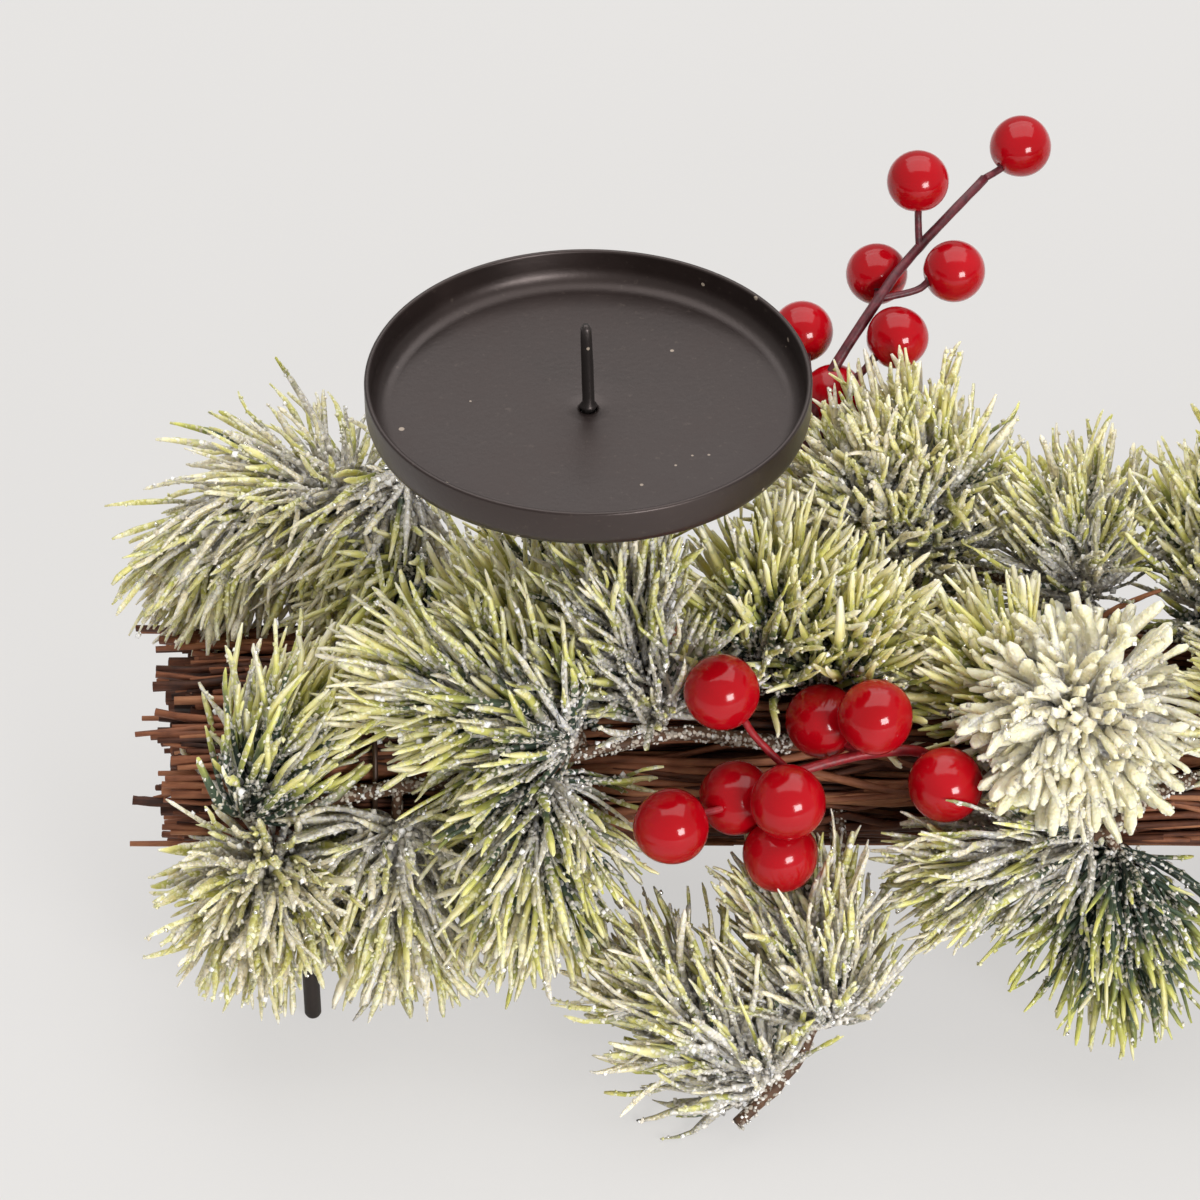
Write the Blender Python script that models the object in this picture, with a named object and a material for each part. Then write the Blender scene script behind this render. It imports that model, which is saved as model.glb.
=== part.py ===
"""Oblong table wreath for four pillar candles, in metres, +Z up, standing on z = 0.

A bundle of thin twigs lies along X on a flat steel rail with two bent legs. Four posts stand on
the rail, pass up through the bundle and carry the candle plates, each with a spike through its
floor. Pine sprays and berry picks sit along the bundle. The right half is the left half turned
by half a turn about Z.
"""

import math

import bmesh
import bpy
import numpy as np
from mathutils import Vector
from mathutils.bvhtree import BVHTree

# Fit between pieces that touch
FIT = 0.0003

# Candle plates
PLATE_COUNT = 4
PLATE_PITCH = 0.156
PLATE_DIAMETER = 0.080
PLATE_DEPTH = 0.008
PLATE_SHEET = 0.001
PLATE_CORNER = 0.003
PLATE_SIDES = 32

# Spikes
SPIKE_DIAMETER = 0.0022
SPIKE_HEIGHT = 0.018
SPIKE_SEAT = 0.008
SPIKE_POINT = 0.0012
SPIKE_BURR = 0.0005
SPIKE_SIDES = 8

# Posts
POST_DIAMETER = 0.005
POST_HEIGHT = 0.094
POST_SHANK_DIAMETER = 0.0032
POST_FLARE = 0.0018
POST_SIDES = 10

# Stand
RAIL_WIDTH = 0.012
RAIL_THICKNESS = 0.003
RAIL_OVERHANG = 0.058
HOOP_DIAMETER = 0.0032
HOOP_SPREAD = 0.073
HOOP_BEND = 0.006
HOOP_FROM_PLATE = 0.0525
HOOP_TIP_ROUND = 0.0006
STAND_CLEARANCE = 0.015
HOOP_SIDES = 8

# Twig bundle
BUNDLE_WIDTH = 0.046
BUNDLE_HEIGHT = 0.034
BUNDLE_OVERHANG = 0.076
STRAND_GAP = 0.0004
STRAND_LOBE = 0.10
STRAND_SIDES = 8
PART_ROUND_POST = 0.018
TWIG_STUB = 0.006
TWIG_STUB_VARIATION = 0.005
TWIG_STUB_INSET = 0.0005

# Binding wires
WIRE_DIAMETER = 0.001
WIRE_STEPS = 20
WIRE_SIDES = 4
WIRE_ROUNDNESS = 2.9
WIRE_FROM_PLATE = 0.040

# Pine sprays
NEEDLE_RING = 5
SIDE_NEEDLE = 0.020
FRONT_NEEDLE = 0.024
SIDE_NEEDLE_ANGLE = math.radians(62)
SHOULDER_NEEDLE_ANGLE = math.radians(40)
FRONT_NEEDLE_ANGLE = math.radians(18)
NEEDLE_VARIATION = 0.12
CORE_RADIUS = 0.0045
STEM_DIAMETER = 0.0026
STEM_SIDES = 5

# Berry picks
FRONT_BERRY_DIAMETER = 0.0138
BACK_BERRY_DIAMETER = 0.0118
BERRY_STEM_DIAMETER = 0.0022
BERRY_TWIG_DIAMETER = 0.0014
BERRY_SEGMENTS = 8
BERRY_RINGS = 5

# Levels that follow from the sizes above
HOOP_Z = STAND_CLEARANCE + HOOP_DIAMETER / 2
RAIL_BOTTOM = STAND_CLEARANCE + HOOP_DIAMETER + FIT
RAIL_TOP = RAIL_BOTTOM + RAIL_THICKNESS
BUNDLE_BOTTOM = RAIL_TOP + FIT
BUNDLE_TOP = BUNDLE_BOTTOM + BUNDLE_HEIGHT
BUNDLE_MIDDLE = (BUNDLE_BOTTOM + BUNDLE_TOP) / 2
POST_TOP = RAIL_TOP + FIT + POST_HEIGHT
PLATE_BOTTOM = POST_TOP + FIT
PLATE_FLOOR = PLATE_BOTTOM + PLATE_SHEET
SPIKE_HOLE_RADIUS = SPIKE_DIAMETER / 2 + FIT
PLATE_XS = [(i - (PLATE_COUNT - 1) / 2) * PLATE_PITCH for i in range(PLATE_COUNT)]
LAST_PLATE_X = PLATE_XS[-1]


def material(name, colour, roughness, metallic=0.0):
    """A plain Principled material."""
    made = bpy.data.materials.new(name)
    made.use_nodes = True
    shader = made.node_tree.nodes["Principled BSDF"]
    shader.inputs["Base Color"].default_value = (*colour, 1.0)
    shader.inputs["Roughness"].default_value = roughness
    shader.inputs["Metallic"].default_value = metallic
    return made


def add_object(name, mesh, finish, location=(0.0, 0.0, 0.0)):
    """Links a named object that shows mesh in one material."""
    made = bpy.data.objects.new(name, mesh)
    made.location = location
    if not mesh.materials:
        mesh.materials.append(finish)
    bpy.context.scene.collection.objects.link(made)
    return made


def mesh_from(bm, name, sharp=math.radians(40)):
    """Closes the work on a bmesh: normals out, smooth where the form is round."""
    bmesh.ops.recalc_face_normals(bm, faces=bm.faces)
    made = bpy.data.meshes.new(name)
    bm.to_mesh(made)
    bm.free()
    made.shade_smooth()
    made.set_sharp_from_angle(angle=sharp)
    return made


def turned(profile, sides, name, closed=False):
    """Spins a profile of (radius, height) points about Z. A closed profile makes a ring."""
    bm = bmesh.new()
    points = [bm.verts.new((r, 0.0, z)) for r, z in profile]
    pairs = list(zip(points, points[1:] + points[:1]))
    edges = [bm.edges.new(pair) for pair in (pairs if closed else pairs[:-1])]
    bmesh.ops.spin(
        bm, geom=points + edges, axis=(0, 0, 1), cent=(0, 0, 0), angle=math.tau, steps=sides
    )
    bmesh.ops.remove_doubles(bm, verts=bm.verts, dist=1e-6)
    return mesh_from(bm, name)


def arc(centre_r, centre_z, radius, start, end, steps):
    """Points of a profile's round corner, with angles in degrees."""
    angles = np.radians(np.linspace(start, end, steps + 1))
    return [(centre_r + radius * math.cos(a), centre_z + radius * math.sin(a)) for a in angles]


def loft(rings):
    """A closed body through rings of as many points each, with a flat cap at both ends."""
    bm = bmesh.new()
    rows = [[bm.verts.new(p) for p in ring] for ring in rings]
    for lower, upper in zip(rows, rows[1:]):
        for i in range(len(lower)):
            j = (i + 1) % len(lower)
            bm.faces.new((lower[i], lower[j], upper[j], upper[i]))
    bm.faces.new(rows[0])
    bm.faces.new(rows[-1])
    bmesh.ops.recalc_face_normals(bm, faces=bm.faces)
    return bm


def tube_rings(path, radii, sides):
    """Rings of a round tube along a path, each square to it and turned as little as can be."""
    path = [Vector(p) for p in path]
    ways = [(b - a).normalized() for a, b in zip(path, path[1:])]
    ways = [ways[0]] + [(a + b).normalized() for a, b in zip(ways, ways[1:])] + [ways[-1]]
    across = ways[0].orthogonal().normalized()
    rings = []
    for place, way, radius in zip(path, ways, radii):
        across = (across - way * across.dot(way)).normalized()
        beside = way.cross(across)
        turns = [math.tau * i / sides for i in range(sides)]
        rings.append(
            [place + radius * (math.cos(t) * across + math.sin(t) * beside) for t in turns]
        )
    return rings


def curve_through(points, steps):
    """Points along a smooth curve that passes through the given ones."""
    ends = [2 * points[0] - points[1], *points, 2 * points[-1] - points[-2]]
    made = []
    for a, b, c, d in zip(ends, ends[1:], ends[2:], ends[3:]):
        for t in np.arange(steps) / steps:
            made.append(
                0.5
                * (
                    2 * b
                    + (c - a) * t
                    + (2 * a - 5 * b + 4 * c - d) * t * t
                    + (3 * b - a - 3 * c + d) * t**3
                )
            )
    return made + [points[-1]]


def join_bodies(name, bodies, finish):
    """One closed body from overlapping ones, by Boolean unions, given as an object."""
    made = add_object(name, bodies[0], finish)
    helpers = []
    for body in bodies[1:]:
        helper = add_object(f"{name}_union", body, finish)
        helper.hide_render = True
        helper.display_type = "WIRE"
        helpers.append(helper)
        union = made.modifiers.new("union", "BOOLEAN")
        union.operation = "UNION"
        union.solver = "EXACT"
        union.object = helper
    bpy.context.view_layer.update()
    graph = bpy.context.evaluated_depsgraph_get()
    joined = bpy.data.meshes.new_from_object(made.evaluated_get(graph))
    made.modifiers.clear()
    made.data = joined
    for helper in helpers:
        bpy.data.objects.remove(helper)
    return made


def half_turn(source, name):
    """The same piece in the other half of the wreath, half a turn about Z away."""
    made = bpy.data.objects.new(name, source.data)
    made.rotation_euler = (0.0, 0.0, math.pi)
    x, y, z = source.location
    made.location = (-x, -y, z)
    bpy.context.scene.collection.objects.link(made)
    return made


def make_plates(finish):
    """Pressed steel dishes: flat floor with a hole for the spike, round corner, upright wall."""
    outer = PLATE_DIAMETER / 2
    inner = outer - PLATE_SHEET
    rim = PLATE_BOTTOM + PLATE_DEPTH
    bend = PLATE_CORNER - PLATE_SHEET
    profile = [(SPIKE_HOLE_RADIUS, PLATE_BOTTOM)]
    profile += arc(outer - PLATE_CORNER, PLATE_BOTTOM + PLATE_CORNER, PLATE_CORNER, -90, 0, 2)
    profile += [(outer, rim), (inner, rim)]
    profile += arc(inner - bend, PLATE_FLOOR + bend, bend, 0, -90, 2)
    profile += [(SPIKE_HOLE_RADIUS, PLATE_FLOOR)]
    mesh = turned(profile, PLATE_SIDES, "candle_plate", closed=True)
    for number, x in enumerate(PLATE_XS, 1):
        add_object(f"candle_plate_{number}", mesh, finish, (x, 0.0, 0.0))


def make_spikes(finish):
    """Steel pins through the plates, with the burr that the pressed fit leaves at the floor."""
    radius = SPIKE_DIAMETER / 2
    top = PLATE_FLOOR + SPIKE_HEIGHT
    burr_z = PLATE_FLOOR + FIT
    profile = [(0.0, POST_TOP - SPIKE_SEAT), (radius, POST_TOP - SPIKE_SEAT)]
    profile += [(radius, burr_z), (radius + SPIKE_BURR, burr_z + SPIKE_BURR)]
    profile += [(radius, burr_z + 3 * SPIKE_BURR), (radius, top - SPIKE_POINT)]
    profile += [(radius / 2, top), (0.0, top)]
    mesh = turned(profile, SPIKE_SIDES, "candle_spike")
    for number, x in enumerate(PLATE_XS, 1):
        add_object(f"candle_spike_{number}", mesh, finish, (x, 0.0, 0.0))


def make_posts(finish):
    """Round posts: a shank through the rail, a shoulder on it, and a bore for the spike on top."""
    radius = POST_DIAMETER / 2
    shank = POST_SHANK_DIAMETER / 2
    shoulder = RAIL_TOP + FIT
    bore_floor = POST_TOP - SPIKE_SEAT - FIT
    profile = [(0.0, RAIL_BOTTOM), (shank, RAIL_BOTTOM), (shank, shoulder), (radius, shoulder)]
    profile += [(radius, POST_TOP - POST_FLARE), (radius + POST_FLARE, POST_TOP)]
    profile += [(SPIKE_HOLE_RADIUS, POST_TOP), (SPIKE_HOLE_RADIUS, bore_floor), (0.0, bore_floor)]
    mesh = turned(profile, POST_SIDES, "candle_post")
    for number, x in enumerate(PLATE_XS, 1):
        add_object(f"candle_post_{number}", mesh, finish, (x, 0.0, 0.0))


def make_rail(finish):
    """Flat bar with round ends and a hole for each post's shank."""
    half = LAST_PLATE_X + RAIL_OVERHANG - RAIL_WIDTH / 2
    radius = RAIL_WIDTH / 2
    right = [(half + x, y) for x, y in arc(0.0, 0.0, radius, -90, 90, 6)]
    outline = right + [(-x, -y) for x, y in right]
    rings = [[Vector((x, y, z)) for x, y in outline] for z in (RAIL_BOTTOM, RAIL_TOP)]
    rail = add_object("stand_rail", mesh_from(loft(rings), "stand_rail"), finish)
    hole = POST_SHANK_DIAMETER / 2 + FIT
    depth = RAIL_THICKNESS
    profile = [(0.0, RAIL_BOTTOM - depth), (hole, RAIL_BOTTOM - depth)]
    profile += [(hole, RAIL_TOP + depth), (0.0, RAIL_TOP + depth)]
    for x in PLATE_XS:
        drill = add_object("rail_drill", turned(profile, POST_SIDES, "rail_drill"), finish)
        drill.location = (x, 0.0, 0.0)
        drill.hide_render = True
        drill.display_type = "WIRE"
        cut = rail.modifiers.new("shank hole", "BOOLEAN")
        cut.operation = "DIFFERENCE"
        cut.solver = "EXACT"
        cut.object = drill


def make_leg_hoops(finish):
    """Round bars that cross under the rail and turn down into a leg on both sides."""
    radius = HOOP_DIAMETER / 2
    side = HOOP_SPREAD / 2
    bend = arc(side - HOOP_BEND, HOOP_Z - HOOP_BEND, HOOP_BEND, 0, 90, 4)
    half = [(side, 0.0), (side, HOOP_TIP_ROUND), *bend]
    whole = half + [(-y, z) for y, z in reversed(half)]
    path = [Vector((0.0, y, z)) for y, z in whole]
    tip = radius - HOOP_TIP_ROUND
    radii = [tip] + [radius] * (len(path) - 2) + [tip]
    mesh = mesh_from(loft(tube_rings(path, radii, HOOP_SIDES)), "stand_leg_hoop")
    x = LAST_PLATE_X + HOOP_FROM_PLATE
    add_object("stand_leg_hoop_left", mesh, finish, (-x, 0.0, 0.0))
    add_object("stand_leg_hoop_right", mesh, finish, (x, 0.0, 0.0))


def parting(x):
    """How far the strands give way sideways at x, where a post stands between them."""
    room = POST_DIAMETER / 2 + 2 * FIT - STRAND_GAP
    return room * max(math.exp(-(((x - post) / PART_ROUND_POST) ** 2)) for post in PLATE_XS)


def make_strands(finish):
    """Six lobed strands of twigs, with single twigs standing out of their cut ends.

    Returns their surface, for the stems that grow from it.
    """
    rng = np.random.default_rng(11)
    whole = bmesh.new()
    half_width = BUNDLE_WIDTH / 2
    inner_width = half_width * 0.48
    outer_width = half_width - inner_width - STRAND_GAP
    quarter = BUNDLE_HEIGHT / 4 - STRAND_GAP / 2
    inner_y = STRAND_GAP + inner_width / 2
    outer_y = half_width - outer_width / 2
    low = BUNDLE_BOTTOM + quarter
    high = BUNDLE_TOP - quarter
    tall = BUNDLE_HEIGHT * 0.39
    strands = []
    for side in (-1, 1):
        strands += [(side, inner_y, low, inner_width / 2, quarter)]
        strands += [(side, inner_y, high, inner_width / 2, quarter)]
        strands += [(side, outer_y, BUNDLE_MIDDLE, outer_width / 2, tall)]
    end = LAST_PLATE_X + BUNDLE_OVERHANG
    steps = [share * PART_ROUND_POST for share in (-2, -1, 0, 1, 2)]
    stations = [-end, *[post + step for post in PLATE_XS for step in steps], end]
    for number, (side, y, z, wide, tall_half) in enumerate(strands, 1):
        rings = []
        for x in stations:
            ring = []
            for i in range(STRAND_SIDES):
                turn = math.tau * i / STRAND_SIDES
                lobe = 1 - STRAND_LOBE * (i % 2)
                across = y + parting(x) + wide * lobe * math.cos(turn)
                ring.append(Vector((x, side * across, z + tall_half * lobe * math.sin(turn))))
            rings.append(ring)
        bm = loft(rings)
        caps = [f for f in bm.faces if len(f.verts) == STRAND_SIDES]
        fans = bmesh.ops.poke(bm, faces=caps)["faces"]
        stubs = [f for i, f in enumerate(fans) if i % 2 == number % 2]
        bmesh.ops.inset_individual(bm, faces=stubs, thickness=TWIG_STUB_INSET)
        grown = bmesh.ops.extrude_discrete_faces(bm, faces=stubs)["faces"]
        for face in grown:
            reach = TWIG_STUB + TWIG_STUB_VARIATION * rng.uniform(-1, 1)
            outward = math.copysign(reach, face.calc_center_median().x)
            for vert in face.verts:
                vert.co.x += outward
        mesh = mesh_from(bm, f"twig_strand_{number}")
        add_object(f"twig_strand_{number}", mesh, finish)
        whole.from_mesh(mesh)
    return BVHTree.FromBMesh(whole)


def make_binding_wires(finish):
    """Wires that tie the bundle down on the rail, one at its middle and one near each end."""
    room = 2 * FIT + WIRE_DIAMETER / 2
    wide = BUNDLE_WIDTH / 2 + room
    top = BUNDLE_TOP + room
    bottom = RAIL_BOTTOM - room
    middle, tall = (top + bottom) / 2, (top - bottom) / 2
    power = 2 / WIRE_ROUNDNESS
    loop = []
    for turn in np.arange(WIRE_STEPS) * math.tau / WIRE_STEPS:
        c, s = math.cos(turn), math.sin(turn)
        y = wide * math.copysign(abs(c) ** power, c)
        z = middle + tall * math.copysign(abs(s) ** power, s)
        loop.append(Vector((0.0, y, z)))
    bm = bmesh.new()
    rows = []
    for place in loop:
        out = (place - Vector((0.0, 0.0, middle))).normalized()
        ring = []
        for i in range(WIRE_SIDES):
            turn = math.tau * i / WIRE_SIDES
            across = Vector((math.sin(turn), 0.0, 0.0)) + out * math.cos(turn)
            ring.append(bm.verts.new(place + across * WIRE_DIAMETER / 2))
        rows.append(ring)
    for a, b in zip(rows, rows[1:] + rows[:1]):
        for i in range(WIRE_SIDES):
            j = (i + 1) % WIRE_SIDES
            bm.faces.new((a[i], a[j], b[j], b[i]))
    mesh = mesh_from(bm, "binding_wire")
    far = LAST_PLATE_X + WIRE_FROM_PLATE
    for number, x in enumerate((-far, 0.0, far), 1):
        add_object(f"binding_wire_{number}", mesh, finish, (x, 0.0, 0.0))


def tuft(root, base, tip, rng):
    """A tuft of pine needles: a spindle whose side and front faces rise into needle clumps.

    Its tail tapers back to root, on the stem that carries it.
    """
    axis = Vector(tip) - Vector(base)
    length = axis.length - FRONT_NEEDLE
    turn = axis.to_track_quat("Z", "Y").to_matrix()
    spin = rng.uniform(0, math.tau)
    levels = [(0.12, 0.45), (0.55, 1.0), (0.85, 0.7)]
    bm = bmesh.new()
    rows = []
    for share, girth in levels:
        row = []
        for i in range(NEEDLE_RING):
            a = spin + math.tau * (i + 0.5 * len(rows)) / NEEDLE_RING
            place = (CORE_RADIUS * girth * math.cos(a), CORE_RADIUS * girth * math.sin(a))
            row.append(bm.verts.new((*place, length * share)))
        rows.append(row)
    tail = bm.verts.new(turn.inverted() @ (Vector(root) - Vector(base)))
    nose = bm.verts.new((0.0, 0.0, length))
    sides, shoulders, fronts = [], [], []
    for i in range(NEEDLE_RING):
        j = (i + 1) % NEEDLE_RING
        bm.faces.new((rows[0][j], rows[0][i], tail))
        sides.append(bm.faces.new((rows[0][i], rows[0][j], rows[1][j], rows[1][i])))
        shoulders.append(bm.faces.new((rows[1][i], rows[1][j], rows[2][j], rows[2][i])))
        fronts.append(bm.faces.new((rows[2][i], rows[2][j], nose)))
    for faces, reach, angle in (
        (sides, SIDE_NEEDLE, SIDE_NEEDLE_ANGLE),
        (shoulders, SIDE_NEEDLE, SHOULDER_NEEDLE_ANGLE),
        (fronts, FRONT_NEEDLE, FRONT_NEEDLE_ANGLE),
    ):
        for face in faces:
            middle = face.calc_center_median()
            out = Vector((middle.x, middle.y, 0.0)).normalized()
            way = out * math.sin(angle) + Vector((0.0, 0.0, math.cos(angle)))
            grow = reach * (1 + NEEDLE_VARIATION * rng.uniform(-1, 1))
            point = bmesh.ops.poke(bm, faces=[face])["verts"][0]
            point.co = middle + way * grow
    for vert in bm.verts:
        vert.co = turn @ vert.co + Vector(base)
    return mesh_from(bm, "tuft", sharp=math.radians(20))


def stem(path, diameter, sides=STEM_SIDES, steps=2):
    """A round stem along a smooth curve through the given points."""
    points = curve_through([Vector(p) for p in path], steps)
    return mesh_from(loft(tube_rings(points, [diameter / 2] * len(points), sides)), "stem")


def root_in(places, base):
    """Where a tuft's tail ends: past the middle of the stem at its point nearest to base."""
    end = places[-1] + (places[-2] - places[-1]).normalized() * STEM_DIAMETER
    nearest = min([*places[:-1], end], key=lambda place: (place - base).length)
    return nearest + (nearest - base).normalized() * STEM_DIAMETER * 0.4


# Where sprays and picks grow from: on the front, on the back or on the top of the bundle.
# x counts from the plate that they belong to, as a share of the pitch of the plates.
ANCHORS = {
    "front": (-BUNDLE_WIDTH / 2 - FIT, BUNDLE_MIDDLE),
    "back": (BUNDLE_WIDTH / 2 + FIT, BUNDLE_MIDDLE),
    "top": (0.0, BUNDLE_TOP + FIT),
}

# Each spray: its plate, its letter, where it is anchored, its share of the pitch, the points of
# its stem and, for each tuft, where its needles start and end, all in millimetres from the anchor.
SPRAYS = [
    (1, "a", "top", -0.24, [(26, 8, 1.4), (8, 18, 8), (0, 22, 10)],
     [((-5, 24, 16), (-31, 9, 12)), ((-21, 31, 18), (-52, 18, 10))]),
    (1, "b", "front", -0.38, [(36, 0, 9), (24, -1.5, 9), (11, -3, 7), (-4, -5, 5)],
     [((-1.4, -2.8, 13.2), (4.8, 8.8, 39.4)), ((-5.6, -10.4, -6.3), (-5.8, -32.9, -5.1)),
      ((22.3, -3.6, 2), (20.1, -24.5, -24.6))]),
    (1, "c", "front", -0.03, [(36, 5, 14.6), (20, 2, 19), (1, -4, 19)],
     [((0, -8, 23), (-39, 2, 36)), ((-4, -12, 18), (-5, -30, -14)), ((-4, 3, 24), (-26, 22, 48))]),
    (1, "d", "front", 0.26, [(6, -2, -3), (5, -21, -13), (-1, -34, -27), (-13, -46, -34)],
     [((-8, -40, -30), (-38, -22, -8)), ((5, -32, -23), (3, -19, 4))]),
    (1, "e", "top", 0.14, [(18, -6, 1.4), (4, -11, 3), (-8, -16, 3)],
     [((-9, -18, 6), (-23, -17, 39)), ((12, -8, 3), (13, -4, 38))]),
    (1, "f", "top", 0.45, [(40, 8, 1.4), (30, 10, 3), (14, 16, 5), (0, 23, 7)],
     [((-2, 24, 8), (-15, 27, 46)), ((24, 14, 6), (18, 19, 36)), ((-6, 22, 8), (-27, 20, 30))]),
    (1, "g", "front", 0.62, [(22, 1, 10), (10, -5, 12), (-2, -14, 10)],
     [((-2, 3, 20), (-10, -25, 50)), ((-5, -16, 10), (-40, -24, -3)),
      ((0, -14, 5), (2, -27, -25)), ((-14, 8, 23), (-33, 18, 38))]),
    (1, "h", "top", 0.74, [(20, 6, 1.4), (12, 8, 3), (5, 10, 4)],
     [((4, 10, 4), (6, 14, 42)), ((15, 6, 5), (26, 28, 34))]),
    (1, "i", "back", -0.10, [(30, 1.6, 6), (10, 4, 6), (-8, 6, 2)],
     [((-6, 10, 2), (-34, 36, -8)), ((10, 8, 8), (16, 34, 30))]),
    (1, "j", "back", 0.30, [(30, 1.6, 4), (10, 4, 4), (-6, 6, 0)],
     [((-4, 6, 0), (-14, 40, -14)), ((12, 8, 6), (20, 36, 22))]),
    (2, "c", "front", -0.03, [(36, 5, 14.6), (20, 2, 19), (1, -4, 19)],
     [((0.2, -8.6, 22), (-40.3, 2.5, 35.8)), ((-3, -12.2, 17.5), (-10.2, -29.4, -15.1))]),
    (2, "e", "top", 0.14, [(18, -6, 1.4), (4, -11, 3), (-8, -16, 3)],
     [((-9, -19, 4), (-23, -18, 39)), ((12, -8, 3), (8, -2, 38))]),
    (2, "d", "front", 0.20, [(6, -2, -3), (5, -21, -13), (-1, -34, -27), (-13, -46, -34)],
     [((-8, -40, -30), (-38, -22, -8)), ((5, -32, -23), (3, -19, 4))]),
    (2, "f", "top", 0.45, [(40, 8, 1.4), (30, 10, 3), (14, 16, 5), (0, 23, 7)],
     [((-2, 24, 8), (-15, 27, 46)), ((24, 14, 6), (21, 20, 42))]),
    (2, "g", "front", 0.50, [(22, 1, 10), (10, -5, 12), (-2, -14, 10)],
     [((-1, -12, 14), (-3, -38, 40)), ((-5, -18, 10), (-40, -29, 2))]),
]

# Each pick: its plate, its letter, its anchor, its share of the pitch, the points of its stem
# and its berries as (point of the stem, centre), in millimetres from the anchor.
PICKS = [
    (1, "a", "front", 0.32, FRONT_BERRY_DIAMETER,
     [(14, 0.5, 10), (11, -3, 19), (0, -6, 21), (-13, -10, 20)],
     [(3, (-26, -7, 37)), (2, (2, -7, 31)), (1, (15, -13, 20)), (3, (-35, -21, 17)),
      (3, (-14, -19, 21)), (3, (-15, -20, 9)), (2, (-7, 1, 23)), (3, (-23, -11, 15))]),
    (1, "b", "top", 0.30, BACK_BERRY_DIAMETER,
     [(-16, 8, 1.4), (-8, 20, 16), (-4, 32, 37), (8, 46, 52), (16, 56, 57), (29, 69, 64)],
     [(5, (36, 74, 68)), (4, (15.6, 62, 68)), (3, (8.2, 56, 50.7)), (3, (22.4, 50, 55.7)),
      (2, (11.4, 40, 47.4)), (2, (-6, 48, 43)), (1, (-0.4, 36, 37))]),
]
MM = 0.001


def anchored(points, plate, anchor, share):
    """Points in metres from millimetres counted from a place on the bundle."""
    y, z = ANCHORS[anchor]
    origin = Vector((PLATE_XS[plate - 1] + share * PLATE_PITCH, y, z))
    return [origin + Vector(p) * MM for p in points]


def seated(places, diameter, twigs):
    """The points of a stem with its root moved onto the twigs, a fit away from them."""
    spot = twigs.find_nearest(places[0])[0]
    out = (places[0] - spot).normalized()
    way = (places[1] - places[0]).normalized()
    reach = diameter / 2 * math.sqrt(1 - way.dot(out) ** 2) + FIT
    return [spot + out * reach, *places[1:]]


def make_sprays(finish, twigs):
    """Pine sprays, and the same ones half a turn away on the other half."""
    for order, (plate, letter, anchor, share, path, tufts) in enumerate(SPRAYS):
        rng = np.random.default_rng(100 + order)
        places = seated(anchored(path, plate, anchor, share), STEM_DIAMETER, twigs)
        bodies = [stem(places, STEM_DIAMETER)]
        for ends in tufts:
            base, tip = anchored(ends, plate, anchor, share)
            bodies.append(tuft(root_in(places, base), base, tip, rng))
        made = join_bodies(f"pine_spray_{plate}{letter}", bodies, finish)
        half_turn(made, f"pine_spray_{PLATE_COUNT + 1 - plate}{letter}")


def berry(centre, diameter):
    """A round berry."""
    bm = bmesh.new()
    bmesh.ops.create_uvsphere(
        bm, u_segments=BERRY_SEGMENTS, v_segments=BERRY_RINGS, radius=diameter / 2
    )
    bmesh.ops.translate(bm, verts=bm.verts, vec=centre)
    return mesh_from(bm, "berry")


def make_berry_picks(finish, twigs):
    """Berry picks: a stem with a short twig to each berry, and their half-turned twins."""
    for plate, letter, anchor, share, diameter, path, berries in PICKS:
        places = seated(anchored(path, plate, anchor, share), BERRY_STEM_DIAMETER, twigs)
        bodies = [stem(places, BERRY_STEM_DIAMETER)]
        for start, centre in berries:
            middle = anchored([centre], plate, anchor, share)[0]
            twig = [places[start], middle]
            bodies.append(stem(twig, BERRY_TWIG_DIAMETER, sides=4, steps=1))
            bodies.append(berry(middle, diameter))
        made = join_bodies(f"berry_pick_{plate}{letter}", bodies, finish)
        half_turn(made, f"berry_pick_{PLATE_COUNT + 1 - plate}{letter}")


def main():
    for old in list(bpy.data.objects):
        bpy.data.objects.remove(old)
    plate_black = material("plate_black", (0.055, 0.045, 0.042), 0.5, 0.4)
    stand_black = material("stand_black", (0.020, 0.018, 0.017), 0.45, 0.4)
    twig_brown = material("twig_brown", (0.115, 0.045, 0.022), 0.8)
    wire_brown = material("wire_brown", (0.06, 0.035, 0.02), 0.5, 0.6)
    needle_green = material("needle_green", (0.30, 0.34, 0.20), 0.7)
    berry_red = material("berry_red", (0.62, 0.008, 0.012), 0.15)
    make_rail(stand_black)
    make_leg_hoops(stand_black)
    make_posts(stand_black)
    make_plates(plate_black)
    make_spikes(stand_black)
    twigs = make_strands(twig_brown)
    make_binding_wires(wire_brown)
    make_sprays(needle_green, twigs)
    make_berry_picks(berry_red, twigs)


main()
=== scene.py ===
"""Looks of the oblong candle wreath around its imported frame, in metres, +Z up."""

import math

import bpy
import numpy as np
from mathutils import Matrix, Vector


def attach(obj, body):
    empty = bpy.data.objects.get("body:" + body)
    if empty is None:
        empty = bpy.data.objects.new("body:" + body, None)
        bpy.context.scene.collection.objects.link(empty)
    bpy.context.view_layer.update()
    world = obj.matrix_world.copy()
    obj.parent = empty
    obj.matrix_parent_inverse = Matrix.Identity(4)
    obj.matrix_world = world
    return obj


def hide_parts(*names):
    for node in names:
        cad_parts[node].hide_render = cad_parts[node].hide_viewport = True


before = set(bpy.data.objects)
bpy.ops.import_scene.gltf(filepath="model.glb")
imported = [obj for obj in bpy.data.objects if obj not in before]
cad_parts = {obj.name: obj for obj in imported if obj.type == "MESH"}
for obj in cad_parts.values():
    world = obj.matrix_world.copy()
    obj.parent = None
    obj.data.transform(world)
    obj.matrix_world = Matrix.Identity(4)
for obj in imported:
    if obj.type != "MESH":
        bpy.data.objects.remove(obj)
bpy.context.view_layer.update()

MM = 0.001
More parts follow.
